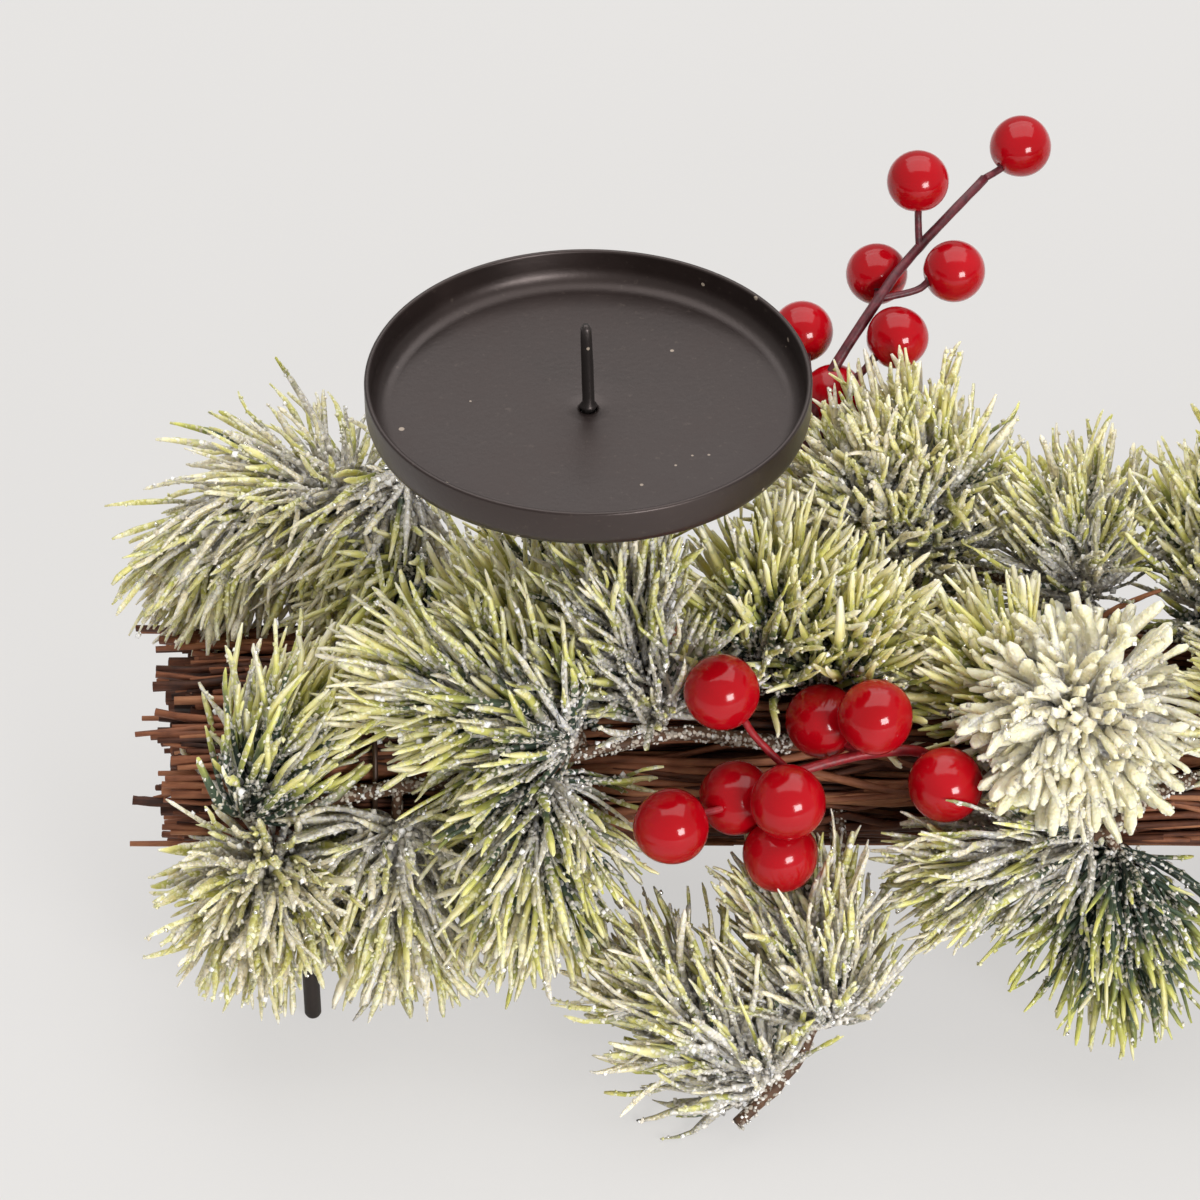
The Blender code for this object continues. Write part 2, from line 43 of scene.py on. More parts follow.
GOLDEN_ANGLE = 2.39996

# Sizes of the frame
PITCH = 0.156
PLATE_XS = [-0.234, -0.078, 0.078, 0.234]
PLATE_RADIUS = 0.040
PLATE_BOTTOM = 0.1161
PLATE_FLOOR = 0.1171
PLATE_RIM = 0.1241
SPIKE_TOP = 0.1351
POST_TOP = 0.1158
RAIL_BOTTOM, RAIL_TOP = 0.0185, 0.0215
HOOP_X, HOOP_SIDE = 0.2865, 0.0365
WIRE_X = 0.274
BUNDLE_Y, BUNDLE_Z = 0.023, 0.017
BUNDLE_MIDDLE = 0.0388
BUNDLE_TOP = 0.0558
BUNDLE_END = 0.310

# Frost cells per metre, the same on needles and on bark
FROST_CELLS = 1150.0

# Needles: widths along a needle for a pointed one and for one with a blunt, heavily frosted end
NEEDLE_LENGTH = 0.0245
NEEDLE_WIDTH = 0.00142
NEEDLE_THICKNESS = 0.0009
NEEDLE_CORNERS = 4
STEM_GRAINS = 420
NEEDLE_STEPS = np.array([0.0, 0.18, 0.36, 0.53, 0.70, 0.84, 0.95, 1.0])
NEEDLE_SHAPE = np.array([0.80, 0.92, 1.00, 1.04, 1.02, 0.92, 0.70, 0.34])
BLUNT_SHAPE = np.array([0.55, 0.74, 0.92, 1.05, 1.15, 1.20, 1.08, 0.66])


# Shader helpers


def new_material(name):
    made = bpy.data.materials.new(name)
    made.use_nodes = True
    return made, made.node_tree, made.node_tree.nodes["Principled BSDF"]


def put(tree, socket, value):
    """Sets a socket to a value or links it to another socket."""
    if isinstance(value, bpy.types.NodeSocket):
        tree.links.new(value, socket)
    else:
        socket.default_value = value


def node(tree, kind, inputs=None, **settings):
    made = tree.nodes.new("ShaderNode" + kind)
    for key, value in settings.items():
        setattr(made, key, value)
    for name, value in (inputs or {}).items():
        put(tree, made.inputs[name], value)
    return made


def maths(tree, operation, a, b=0.0, c=0.0):
    made = tree.nodes.new("ShaderNodeMath")
    made.operation = operation
    for socket, value in zip(made.inputs, (a, b, c)):
        put(tree, socket, value)
    return made.outputs[0]


def mixed(tree, factor, a, b, blend="MIX"):
    made = tree.nodes.new("ShaderNodeMix")
    made.data_type = "RGBA"
    made.blend_type = blend
    for socket, value in zip((made.inputs[0], made.inputs[6], made.inputs[7]), (factor, a, b)):
        put(tree, socket, value)
    return made.outputs[2]


def ranged(tree, value, low, high, to_low=0.0, to_high=1.0, smooth=True):
    made = tree.nodes.new("ShaderNodeMapRange")
    made.interpolation_type = "SMOOTHSTEP" if smooth else "LINEAR"
    for socket, item in zip(made.inputs, (value, low, high, to_low, to_high)):
        put(tree, socket, item)
    return made.outputs[0]


def ramp(tree, factor, stops):
    made = tree.nodes.new("ShaderNodeValToRGB")
    put(tree, made.inputs[0], factor)
    band = made.color_ramp
    while len(band.elements) < len(stops):
        band.elements.new(0.5)
    for element, (place, colour) in zip(band.elements, stops):
        element.position = place
        element.color = (*colour, 1.0)
    return made.outputs[0]


def space(tree):
    return tree.nodes.new("ShaderNodeTexCoord").outputs["Object"]


def noise(tree, scale, detail=2.0, rough=0.5, vector=None):
    """A cloudy value around 0.5, with features of about 1 / scale metres."""
    made = tree.nodes.new("ShaderNodeTexNoise")
    put(tree, made.inputs["Vector"], vector or space(tree))
    made.inputs["Scale"].default_value = scale
    made.inputs["Detail"].default_value = detail
    made.inputs["Roughness"].default_value = rough
    return made.outputs[0]


def cells(tree, scale):
    """Random cells of about 1 / scale metres: the distance to their middles and their colours."""
    made = tree.nodes.new("ShaderNodeTexVoronoi")
    put(tree, made.inputs["Vector"], space(tree))
    made.inputs["Scale"].default_value = scale
    return made


def stretched(tree, x, y, z):
    made = tree.nodes.new("ShaderNodeMapping")
    put(tree, made.inputs["Vector"], space(tree))
    made.inputs["Scale"].default_value = (x, y, z)
    return made.outputs[0]


def split(tree, name):
    """A mesh's colour attribute: place along a piece, its own tone, its frost and its yellow share."""
    source = node(tree, "Attribute", attribute_name=name)
    parts = node(tree, "SeparateColor", {"Color": source.outputs["Color"]})
    return parts.outputs[0], parts.outputs[1], parts.outputs[2], source.outputs["Alpha"]


def bump(tree, shader, height, distance, strength=1.0):
    made = tree.nodes.new("ShaderNodeBump")
    made.inputs["Strength"].default_value = strength
    made.inputs["Distance"].default_value = distance
    put(tree, made.inputs["Height"], height)
    tree.links.new(made.outputs[0], shader.inputs["Normal"])


# Materials


def grey(tree, value):
    """A grey colour of the given level."""
    return node(tree, "CombineColor", {"Red": value, "Green": value, "Blue": value}).outputs[0]


def needle_material():
    """Plastic needles: dark blue-green base, yellow-green outer half, sugar-like frost."""
    made, tree, shader = new_material("needle_frosted")
    along, own, frost, yellow = split(tree, "needle")
    fine = noise(tree, 420.0, 3.0, 0.6)
    turn = maths(tree, "ADD", along, maths(tree, "MULTIPLY_ADD", fine, 0.26, -0.13))
    turn = maths(tree, "ADD", turn, maths(tree, "MULTIPLY_ADD", yellow, 0.50, -0.45))
    plain = ramp(tree, turn, [
        (0.05, (0.026, 0.044, 0.032)),
        (0.36, (0.060, 0.090, 0.055)),
        (0.52, (0.310, 0.330, 0.080)),
        (0.66, (0.590, 0.580, 0.150)),
        (0.80, (0.830, 0.760, 0.330)),
        (1.00, (0.930, 0.840, 0.600)),
    ])
    iced = maths(tree, "MULTIPLY", ranged(tree, frost, 0.58, 0.86, 0.0, 0.85), ranged(
        tree, turn, 0.36, 0.60, 1.0, 0.0))
    plain = mixed(tree, iced, plain, (0.780, 0.730, 0.630, 1))
    plain = mixed(tree, 1.0, plain, grey(tree, maths(tree, "MULTIPLY_ADD", own, 0.5, 0.75)), "MULTIPLY")
    outer = ranged(tree, turn, 0.42, 0.72)
    creamy = ranged(tree, own, 0.38, 0.56)
    bleached = maths(tree, "MULTIPLY", ranged(tree, frost, 0.60, 0.84, 0.08, 0.85), creamy)
    plain = mixed(tree, maths(tree, "MULTIPLY", bleached, outer), plain, (0.920, 0.800, 0.640, 1))
    white = ranged(tree, frost, 0.88, 0.98)
    snow = mixed(tree, ranged(tree, along, 0.45, 0.95), (0.900, 0.870, 0.800, 1), (
        0.960, 0.890, 0.670, 1))
    plain = mixed(tree, maths(tree, "MULTIPLY", white, 0.90), plain, snow)
    grain = cells(tree, FROST_CELLS)
    picked = node(tree, "SeparateColor", {"Color": grain.outputs["Color"]})
    patch = noise(tree, 190.0, 2.0)
    cover = maths(tree, "ADD", maths(tree, "MULTIPLY_ADD", frost, 1.05, 0.02), maths(
        tree, "MULTIPLY_ADD", patch, 1.2, -0.60))
    cover = maths(tree, "SUBTRACT", cover, ranged(tree, turn, 0.42, 0.78, 0.0, 0.22))
    crust = ranged(tree, maths(tree, "SUBTRACT", cover, picked.outputs[0]), -0.04, 0.04)
    dots = ranged(tree, grain.outputs["Distance"], 0.50, 0.74, 1.0, white)
    crust = maths(tree, "MULTIPLY", crust, dots)
    tone = maths(tree, "POWER", picked.outputs[1], 1.4)
    inside = mixed(tree, tone, (0.430, 0.400, 0.345, 1), (0.950, 0.905, 0.835, 1))
    fresh = mixed(tree, tone, (0.600, 0.580, 0.220, 1), (0.950, 0.920, 0.660, 1))
    pale = mixed(tree, tone, (0.640, 0.560, 0.430, 1), (0.980, 0.910, 0.800, 1))
    outside = mixed(tree, bleached, fresh, pale)
    cream = mixed(tree, outer, inside, outside)
    cream = mixed(tree, maths(tree, "MULTIPLY", white, 0.75), cream, snow)
    colour = mixed(tree, crust, plain, cream)
    tree.links.new(colour, shader.inputs["Base Color"])
    put(tree, shader.inputs["Roughness"], ranged(tree, crust, 0.0, 1.0, 0.45, 0.65))
    shader.inputs["Specular IOR Level"].default_value = 0.40
    shader.inputs["Subsurface Weight"].default_value = 0.60
    shader.inputs["Subsurface Radius"].default_value = (1.0, 0.9, 0.6)
    shader.inputs["Subsurface Scale"].default_value = 0.0015
    domes = maths(tree, "SUBTRACT", 1.0, grain.outputs["Distance"])
    bump(tree, shader, maths(tree, "MULTIPLY", domes, crust), 0.0004, 0.8)
    return made


def crystal_material():
    """Sugar grains and clear glitter that catch the light; the near-white grains are white frost whose
    pure white is also a painted highlight for the glitter's glints.
    """
    made, tree, shader = new_material("glitter_grain")
    along, own, _, yellow = split(tree, "needle")
    dull = ranged(tree, own, 0.0, 0.85, smooth=False)
    inside = mixed(tree, dull, (0.480, 0.445, 0.385, 1), (0.960, 0.920, 0.855, 1))
    fresh = mixed(tree, dull, (0.600, 0.580, 0.180, 1), (0.950, 0.920, 0.640, 1))
    pale = mixed(tree, dull, (0.640, 0.560, 0.400, 1), (0.970, 0.900, 0.770, 1))
    outside = mixed(tree, ranged(tree, yellow, 0.38, 0.56), fresh, pale)
    colour = mixed(tree, ranged(tree, along, 0.42, 0.72), inside, outside)
    # Near-white grains: white frost, their white also painted glints of the glitter
    colour = mixed(tree, ranged(tree, own, 0.85, 0.87), colour, (0.98, 0.97, 0.96, 1))
    tree.links.new(colour, shader.inputs["Base Color"])
    put(tree, shader.inputs["Metallic"], ranged(tree, own, 0.955, 0.96, 0.0, 0.90))
    put(tree, shader.inputs["Roughness"], ranged(tree, own, 0.5, 0.9, 0.40, 0.20))
    return made


def bark_material(name, stops, frost_level):
    """Thin twigs and stems: streaked bark, each twig of its own tone, with crusts of frost."""
    made, tree, shader = new_material(name)
    _, own, frost, _ = split(tree, "needle")
    streak = noise(tree, 900.0, 4.0, 0.6, stretched(tree, 0.12, 1.0, 1.0))
    spots = noise(tree, 160.0, 3.0, 0.6)
    value = maths(tree, "ADD", maths(tree, "MULTIPLY", streak, 0.55), maths(
        tree, "MULTIPLY", own, 0.45))
    value = maths(tree, "ADD", value, maths(tree, "MULTIPLY_ADD", spots, 0.4, -0.2))
    plain = ramp(tree, value, stops)
    grain = cells(tree, FROST_CELLS)
    picked = node(tree, "SeparateColor", {"Color": grain.outputs["Color"]})
    patch = noise(tree, 130.0, 2.0)
    cover = maths(tree, "ADD", frost, maths(tree, "MULTIPLY_ADD", patch, 1.4, -0.7 + frost_level))
    crust = ranged(tree, maths(tree, "SUBTRACT", cover, picked.outputs[0]), -0.05, 0.05)
    crust = maths(tree, "MULTIPLY", crust, ranged(tree, grain.outputs["Distance"], 0.42, 0.66, 1.0, 0.0))
    tone = maths(tree, "MULTIPLY_ADD", picked.outputs[1], 0.6, 0.45)
    pale = mixed(tree, 1.0, (0.60, 0.52, 0.43, 1), grey(tree, tone), "MULTIPLY")
    tree.links.new(mixed(tree, crust, plain, pale), shader.inputs["Base Color"])
    put(tree, shader.inputs["Roughness"], ranged(tree, streak, 0.3, 0.7, 0.55, 0.75))
    shader.inputs["Specular IOR Level"].default_value = 0.35
    rise = maths(tree, "ADD", maths(tree, "MULTIPLY", streak, 0.5), maths(
        tree, "MULTIPLY", crust, 0.5))
    bump(tree, shader, rise, 0.0005, 0.8)
    return made


def berry_material():
    """Glossy red lacquer with slightly uneven depth."""
    made, tree, shader = new_material("berry_lacquer")
    cloud = noise(tree, 90.0, 2.0)
    colour = ramp(tree, cloud, [
        (0.30, (0.325, 0.001, 0.004)), (0.55, (0.382, 0.002, 0.007)), (0.80, (0.435, 0.005, 0.011))])
    tree.links.new(colour, shader.inputs["Base Color"])
    put(tree, shader.inputs["Roughness"], ranged(tree, noise(tree, 300.0), 0.3, 0.7, 0.10, 0.15))
    shader.inputs["Specular IOR Level"].default_value = 0.34
    bump(tree, shader, noise(tree, 240.0, 1.0), 0.0002, 0.12)
    return made


def pick_stem_material():
    """Waxed paper round the picks' wires, dark red to bright red from pick to pick."""
    made, tree, shader = new_material("pick_stem")
    _, own, _, _ = split(tree, "needle")
    wraps = noise(tree, 700.0, 3.0)
    colour = ramp(tree, wraps, [
        (0.3, (0.045, 0.006, 0.010)), (0.6, (0.120, 0.014, 0.022)), (0.9, (0.210, 0.040, 0.045))])
    fresh = ramp(tree, wraps, [
        (0.3, (0.150, 0.004, 0.008)), (0.6, (0.300, 0.008, 0.014)), (0.9, (0.420, 0.020, 0.025))])
    colour = mixed(tree, own, colour, fresh)
    tree.links.new(colour, shader.inputs["Base Color"])
    shader.inputs["Roughness"].default_value = 0.45
    bump(tree, shader, wraps, 0.0003, 0.5)
    return made


def paint_material(name, tones, dust, rough):
    """Satin paint on steel with a little unevenness, dust specks and a faint smudge."""
    made, tree, shader = new_material(name)
    cloud = noise(tree, 45.0, 4.0, 0.6)
    colour = ramp(tree, cloud, [(0.30, tones[0]), (0.70, tones[1])])
    specks = cells(tree, 330.0)
    pick = node(tree, "SeparateColor", {"Color": specks.outputs["Color"]})
    near = maths(tree, "MULTIPLY_ADD", pick.outputs[1], 0.17, 0.02)
    dot = maths(tree, "MULTIPLY", maths(tree, "LESS_THAN", specks.outputs["Distance"], near),
                maths(tree, "LESS_THAN", pick.outputs[0], dust))
    colour = mixed(tree, dot, colour, (0.34, 0.28, 0.22, 1))
    film = ranged(tree, noise(tree, 900.0, 3.0), 0.62, 0.80, 0.0, 0.5)
    colour = mixed(tree, maths(tree, "MULTIPLY", film, dust * 3), colour, (0.20, 0.16, 0.13, 1))
    tree.links.new(colour, shader.inputs["Base Color"])
    put(tree, shader.inputs["Roughness"], ranged(tree, cloud, 0.3, 0.7, rough - 0.05, rough + 0.06))
    shader.inputs["Specular IOR Level"].default_value = 0.6
    shader.inputs["Specular Tint"].default_value = (1.0, 0.84, 0.80, 1.0)
    bump(tree, shader, noise(tree, 1200.0, 2.0), 0.0001, 0.25)
    return made


NEEDLE = needle_material()
CRYSTAL = crystal_material()
TWIG = bark_material("twig_bark", [
    (0.22, (0.028, 0.009, 0.005)), (0.40, (0.120, 0.040, 0.020)),
    (0.58, (0.290, 0.105, 0.050)), (0.85, (0.520, 0.240, 0.120))], -0.55)
STEM = bark_material("stem_bark", [
    (0.22, (0.030, 0.014, 0.008)), (0.50, (0.110, 0.055, 0.030)), (0.80, (0.250, 0.140, 0.080))], 0.05)
BERRY = berry_material()
PICK = pick_stem_material()
DISH = paint_material("dish_paint", [(0.008, 0.0050, 0.0044), (0.016, 0.0100, 0.0088)], 0.10, 0.36)
BLACK = paint_material("stand_paint", [(0.010, 0.009, 0.009), (0.020, 0.017, 0.016)], 0.03, 0.38)
WIRE = paint_material("wire_paint", [(0.030, 0.016, 0.010), (0.070, 0.038, 0.022)], 0.02, 0.45)


# Mesh helpers


class Shape:
    """Collects vertices, faces, their material numbers and a colour for each vertex."""

    def __init__(self):
        self.points, self.faces, self.kinds, self.colours, self.count = [], [], [], [], 0

    def add(self, points, faces, kind=0, colours=None):
        points = np.asarray(points, float).reshape(-1, 3)
        if colours is None:
            colours = np.tile((0.5, 0.5, 0.0, 0.5), (len(points), 1))
        self.points.append(points)
        self.colours.append(np.asarray(colours, float))
        for group in faces:
            group = np.asarray(group) + self.count
            self.faces += group.tolist()
            self.kinds.append(np.full(len(group), kind))
        self.count += len(points)

    def mesh(self, name, materials):
        made = bpy.data.meshes.new(name)
        made.from_pydata(np.vstack(self.points).tolist(), [], self.faces)
        made.polygons.foreach_set("material_index", np.concatenate(self.kinds).astype(np.int32))
        made.polygons.foreach_set("use_smooth", np.ones(len(made.polygons), bool))
        layer = made.attributes.new("needle", "FLOAT_COLOR", "POINT")
        layer.data.foreach_set("color", np.vstack(self.colours).astype(np.float32).ravel())
        for finish in materials:
            made.materials.append(finish)
        made.update()
        return made


def unit(v):
    return v / np.maximum(np.linalg.norm(v, axis=-1, keepdims=True), 1e-12)


def ring_faces(rings, corners, bodies):
    """Quads between rings and caps at both ends, for several tubes at once."""
    size = rings * corners
    k, j = np.meshgrid(np.arange(rings - 1), np.arange(corners), indexing="ij")
    a = (k * corners + j).ravel()
    b = (k * corners + (j + 1) % corners).ravel()
    quads = np.stack([a, b, b + corners, a + corners], 1)
    starts = (np.arange(bodies) * size)[:, None, None]
    low = np.arange(corners)[::-1]
    high = np.arange(corners) + size - corners
    caps = np.stack([low, high])
    return [(quads[None] + starts).reshape(-1, 4), (caps[None] + starts).reshape(-1, corners)]


def tube(shape, path, radii, corners=8, kind=0, tone=(0.5, 0.5, 0.0, 0.5), rough=0.0, rng=None):
    """A round tube through points, with rings that twist as little as they can."""
    path = np.asarray(path, float)
    ways = unit(np.gradient(path, axis=0))
    across = unit(np.cross(ways[0], (0.3, 0.2, 1.0) if abs(ways[0][2]) < 0.9 else (1, 0, 0)))
    rings = []
    for place, way, radius in zip(path, ways, np.broadcast_to(radii, len(path))):
        across = unit(across - way * np.dot(across, way))
        beside = np.cross(way, across)
        turns = np.arange(corners) * math.tau / corners
        reach = np.full(corners, radius)
        if rough:
            reach = reach * (1 + rough * rng.uniform(-1, 1, corners))
        rings.append(place + reach[:, None] * (
            np.cos(turns)[:, None] * across + np.sin(turns)[:, None] * beside))
    colours = np.tile(tone, (len(path) * corners, 1)).astype(float)
    colours[:, 0] = np.repeat(np.linspace(0, 1, len(path)), corners)
    shape.add(np.vstack(rings), ring_faces(len(path), corners, 1), kind, colours)


def smooth_path(points, steps):
    """Points along a smooth curve through the given ones."""
    points = np.asarray(points, float)
    ends = np.vstack([2 * points[0] - points[1], points, 2 * points[-1] - points[-2]])
    made = []
    for a, b, c, d in zip(ends, ends[1:], ends[2:], ends[3:]):
        for t in np.arange(steps) / steps:
            made.append(0.5 * (2 * b + (c - a) * t + (2 * a - 5 * b + 4 * c - d) * t * t
                               + (3 * b - a - 3 * c + d) * t**3))
    return np.array(made + [points[-1]])


def turned(profile, sides):
    """Points and faces of a profile of (radius, height) turned about Z."""
    turns = np.arange(sides) * math.tau / sides
    profile = np.asarray(profile, float)
    around = np.stack([np.cos(turns), np.sin(turns)], 1)
    points = [np.column_stack([r * around, np.full(sides, z)]) for r, z in profile]
    return np.vstack(points), ring_faces(len(profile), sides, 1)


def show(name, mesh, replaces, location=(0, 0, 0), turn=0.0):
    """Adds a piece that stands for a CAD node and rides with it."""
    made = bpy.data.objects.new(name, mesh)
    made.location = location
    made.rotation_euler = (0, 0, turn)
    bpy.context.scene.collection.objects.link(made)
    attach(made, "root")
    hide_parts(replaces)
    return made


# Pine sprays

ANCHORS = {
    "front": (-0.0233, BUNDLE_MIDDLE),
    "back": (0.0233, BUNDLE_MIDDLE),
    "top": (0.0, 0.0561),
}

# Looks of a tuft: share of frost, share of yellow, needles per tuft, width and length of a needle
# against the usual ones
LOOKS = {
    "white": (1.00, 0.55, 540, 1.48, 0.90),
    "snow": (0.92, 0.80, 370, 1.13, 0.99),
    "frost": (0.88, 0.72, 320, 1.03, 1.00),
    "pale": (0.64, 0.74, 320, 1.08, 1.05),
    "grey": (0.78, 0.44, 310, 1.00, 1.00),
    "green": (0.46, 0.74, 270, 1.08, 1.05),
    "yellow": (0.42, 0.94, 250, 1.10, 0.97),
    "dark": (0.32, 0.20, 280, 0.94, 1.06),
}

# Each spray: plate, letter, anchor, share of the pitch, stem, tufts with base, tip, look, the way
# that their needles sweep and how far they spread in degrees; lengths in millimetres
SPRAYS = [
    (1, "a", "top", -0.24, [(26, 8, 1.4), (8, 18, 8), (0, 22, 10)],
     [((2, 29, 21), (-20, 9, 11), "snow", (-0.16, -0.25, -0.60), 88),
      ((-21, 31, 19), (-46, 12, 6), "snow", (-0.16, -0.25, -0.60), 90),
      ((-10, 28, 17), (-36, 24, 22), "frost", (-0.05, 0, -0.40), 90),
      ((6, 16, 12), (-11, -6, 3), "yellow", (0, 0, -0.35), 76)]),
    (1, "b", "front", -0.38, [(36, 0, 9), (24, -1.5, 9), (11, -3, 7), (-4, -5, 5)],
     [((-4, -5, 5), (8, 10, 33), "green", (0.25, 0.10, 0), 56),
      ((0, -5, -7), (0, -27, -4), "snow", (0, 0, -0.20), 84),
      ((24, -4, 2), (23, -22, -26), "snow", (0, 0, -0.20), 90)]),
    (1, "c", "front", -0.03, [(36, 5, 14.6), (20, 2, 19), (1, -4, 19)],
     [((2, -6, 25), (-38, 2, 37), "pale", (0, 0, 0), 68),
      ((-4, -10, 18), (-5, -27, -14), "pale", (0, 0, 0), 72),
      ((2, 3, 20), (-20, 24, 44), "yellow", (0, 0, 0), 74)]),
    (1, "d", "front", 0.26, [(6, -2, -3), (5, -21, -13), (-1, -34, -27), (-13, -46, -34)],
     [((-8, -40, -30), (-38, -22, -8), "frost", (0, 0, 0), 66),
      ((4, -32, -22), (-4, -14, 8), "frost", (-0.10, 0, 0.15), 60)]),
    (1, "e", "top", 0.14, [(18, -6, 1.4), (4, -11, 3), (-8, -16, 3)],
     [((-9, -19, 4), (-20, -10, 40), "grey", (0, 0, 0), 68),
      ((12, -8, 3), (13, -4, 38), "green", (0, 0, 0), 66),
      ((24, -9, 3), (32, -4, 28), "yellow", (0, 0, 0), 76)]),
    (1, "f", "top", 0.45, [(40, 8, 1.4), (30, 10, 3), (14, 16, 5), (0, 23, 7)],
     [((-2, 24, 8), (-15, 27, 46), "pale", (0, 0, 0), 72),
      ((24, 14, 6), (18, 19, 36), "grey", (0, 0, 0), 66),
      ((-11, 20, 10), (-29, 20, 42), "frost", (0, 0, 0), 78)]),
    (1, "g", "front", 0.62, [(22, 1, 10), (10, -5, 12), (-2, -14, 10)],
     [((-5, 5, 23), (-16, -22, 38), "white", (0, 0, -0.35), 100),
      ((-5, -16, 10), (-40, -20, 1), "grey", (0, 0, 0), 52),
      ((0, -14, 5), (2, -27, -25), "dark", (0, 0, 0), 66),
      ((-14, 8, 19), (-34, 18, 34), "yellow", (0, 0, 0), 66)]),
    (1, "h", "top", 0.74, [(20, 6, 1.4), (12, 8, 3), (5, 10, 4)],
     [((4, 10, 4), (6, 14, 42), "pale", (0, 0, 0), 68),
      ((15, 6, 5), (26, 28, 34), "dark", (0, 0, 0), 68)]),
    (1, "i", "back", -0.10, [(30, 1.6, 6), (10, 4, 6), (-8, 6, 2)],
     [((-6, 10, 2), (-34, 36, -8), "frost", (0, 0, 0), 68),
      ((10, 8, 8), (16, 34, 30), "green", (0, 0, 0), 68)]),
    (1, "j", "back", 0.30, [(30, 1.6, 4), (10, 4, 4), (-6, 6, 0)],
     [((-4, 6, 0), (-14, 40, -14), "grey", (0, 0, 0), 68),
      ((12, 8, 6), (20, 36, 22), "pale", (0, 0, 0), 68)]),
    (2, "c", "front", -0.03, [(36, 5, 14.6), (20, 2, 19), (1, -4, 19)],
     [((0, -8, 21), (-40, 3, 35), "pale", (0, 0, 0), 70),
      ((-2, -10, 17), (-6, -27, -15), "green", (0, 0, 0), 70)]),
    (2, "d", "front", 0.20, [(6, -2, -3), (5, -21, -13), (-1, -34, -27), (-13, -46, -34)],
     [((-8, -40, -30), (-38, -22, -8), "frost", (0, 0, 0), 66),
      ((4, -32, -22), (-2, -14, 8), "frost", (0, 0, 0), 64)]),
    (2, "e", "top", 0.14, [(18, -6, 1.4), (4, -11, 3), (-8, -16, 3)],
     [((-9, -19, 4), (-20, -10, 40), "grey", (0, 0, 0), 68),
      ((12, -8, 3), (13, -4, 40), "yellow", (0, 0, 0), 70)]),
    (2, "f", "top", 0.45, [(40, 8, 1.4), (30, 10, 3), (14, 16, 5), (0, 23, 7)],
     [((-2, 24, 8), (-15, 27, 46), "pale", (0, 0, 0), 70),
      ((24, 14, 6), (21, 20, 42), "green", (0, 0, 0), 68)]),
    (2, "g", "front", 0.50, [(22, 1, 10), (10, -5, 12), (-2, -14, 10)],
     [((-1, -12, 14), (-3, -38, 40), "white", (0, 0, 0), 90),
      ((-5, -18, 10), (-40, -29, 2), "green", (0, 0, 0), 64)]),
]


def anchored(points, plate, anchor, share):
    y, z = ANCHORS[anchor]
    origin = np.array((PLATE_XS[plate - 1] + share * PITCH, y, z))
    return origin + np.asarray(points, float) * MM


PICKS = [
    (1, "a", "front", 0.32, 0.0069,
     [(14, 0.5, 10), (11, -3, 19), (0, -6, 21), (-13, -10, 20)],
     [(3, (-26, -7, 37)), (2, (2, -7, 31)), (1, (15, -13, 20)), (3, (-35, -21, 17)),
      (3, (-14, -19, 21)), (3, (-15, -20, 9)), (2, (-7, 1, 23)), (3, (-23, -11, 15))]),
    (1, "b", "top", 0.30, 0.0059,
     [(-16, 8, 1.4), (-8, 20, 16), (-4, 32, 37), (8, 46, 52), (16, 56, 57), (29, 69, 64)],
     [(5, (36, 74, 68)), (4, (15.6, 62, 68)), (3, (8.2, 56, 50.7)), (3, (22.4, 50, 55.7)),
      (2, (11.4, 40, 47.4)), (2, (-6, 48, 43)), (1, (-0.4, 36, 37))]),
]

# Balls that the needles stay off: the berries of the picks, and a gap in front of the left foot
FREE_PLACES = [anchored([centre], plate, anchor, share)
               for plate, _, anchor, share, _, _, berries in PICKS for _, centre in berries]
FREE_RADII = [radius for _, _, _, _, radius, _, berries in PICKS for _ in berries]
FOOT_GAPS = (0.003, 0.009, 0.015, 0.021, 0.027)
FREE_PLACES += [np.array([(-HOOP_X, -HOOP_SIDE, 0.0050)]) + step * np.array((0.068, -0.708, 0.703))
                for step in FOOT_GAPS]
FREE_RADII += [0.0034] * len(FOOT_GAPS)
FREE_PLACES, FREE_RADII = np.vstack(FREE_PLACES), np.array(FREE_RADII)


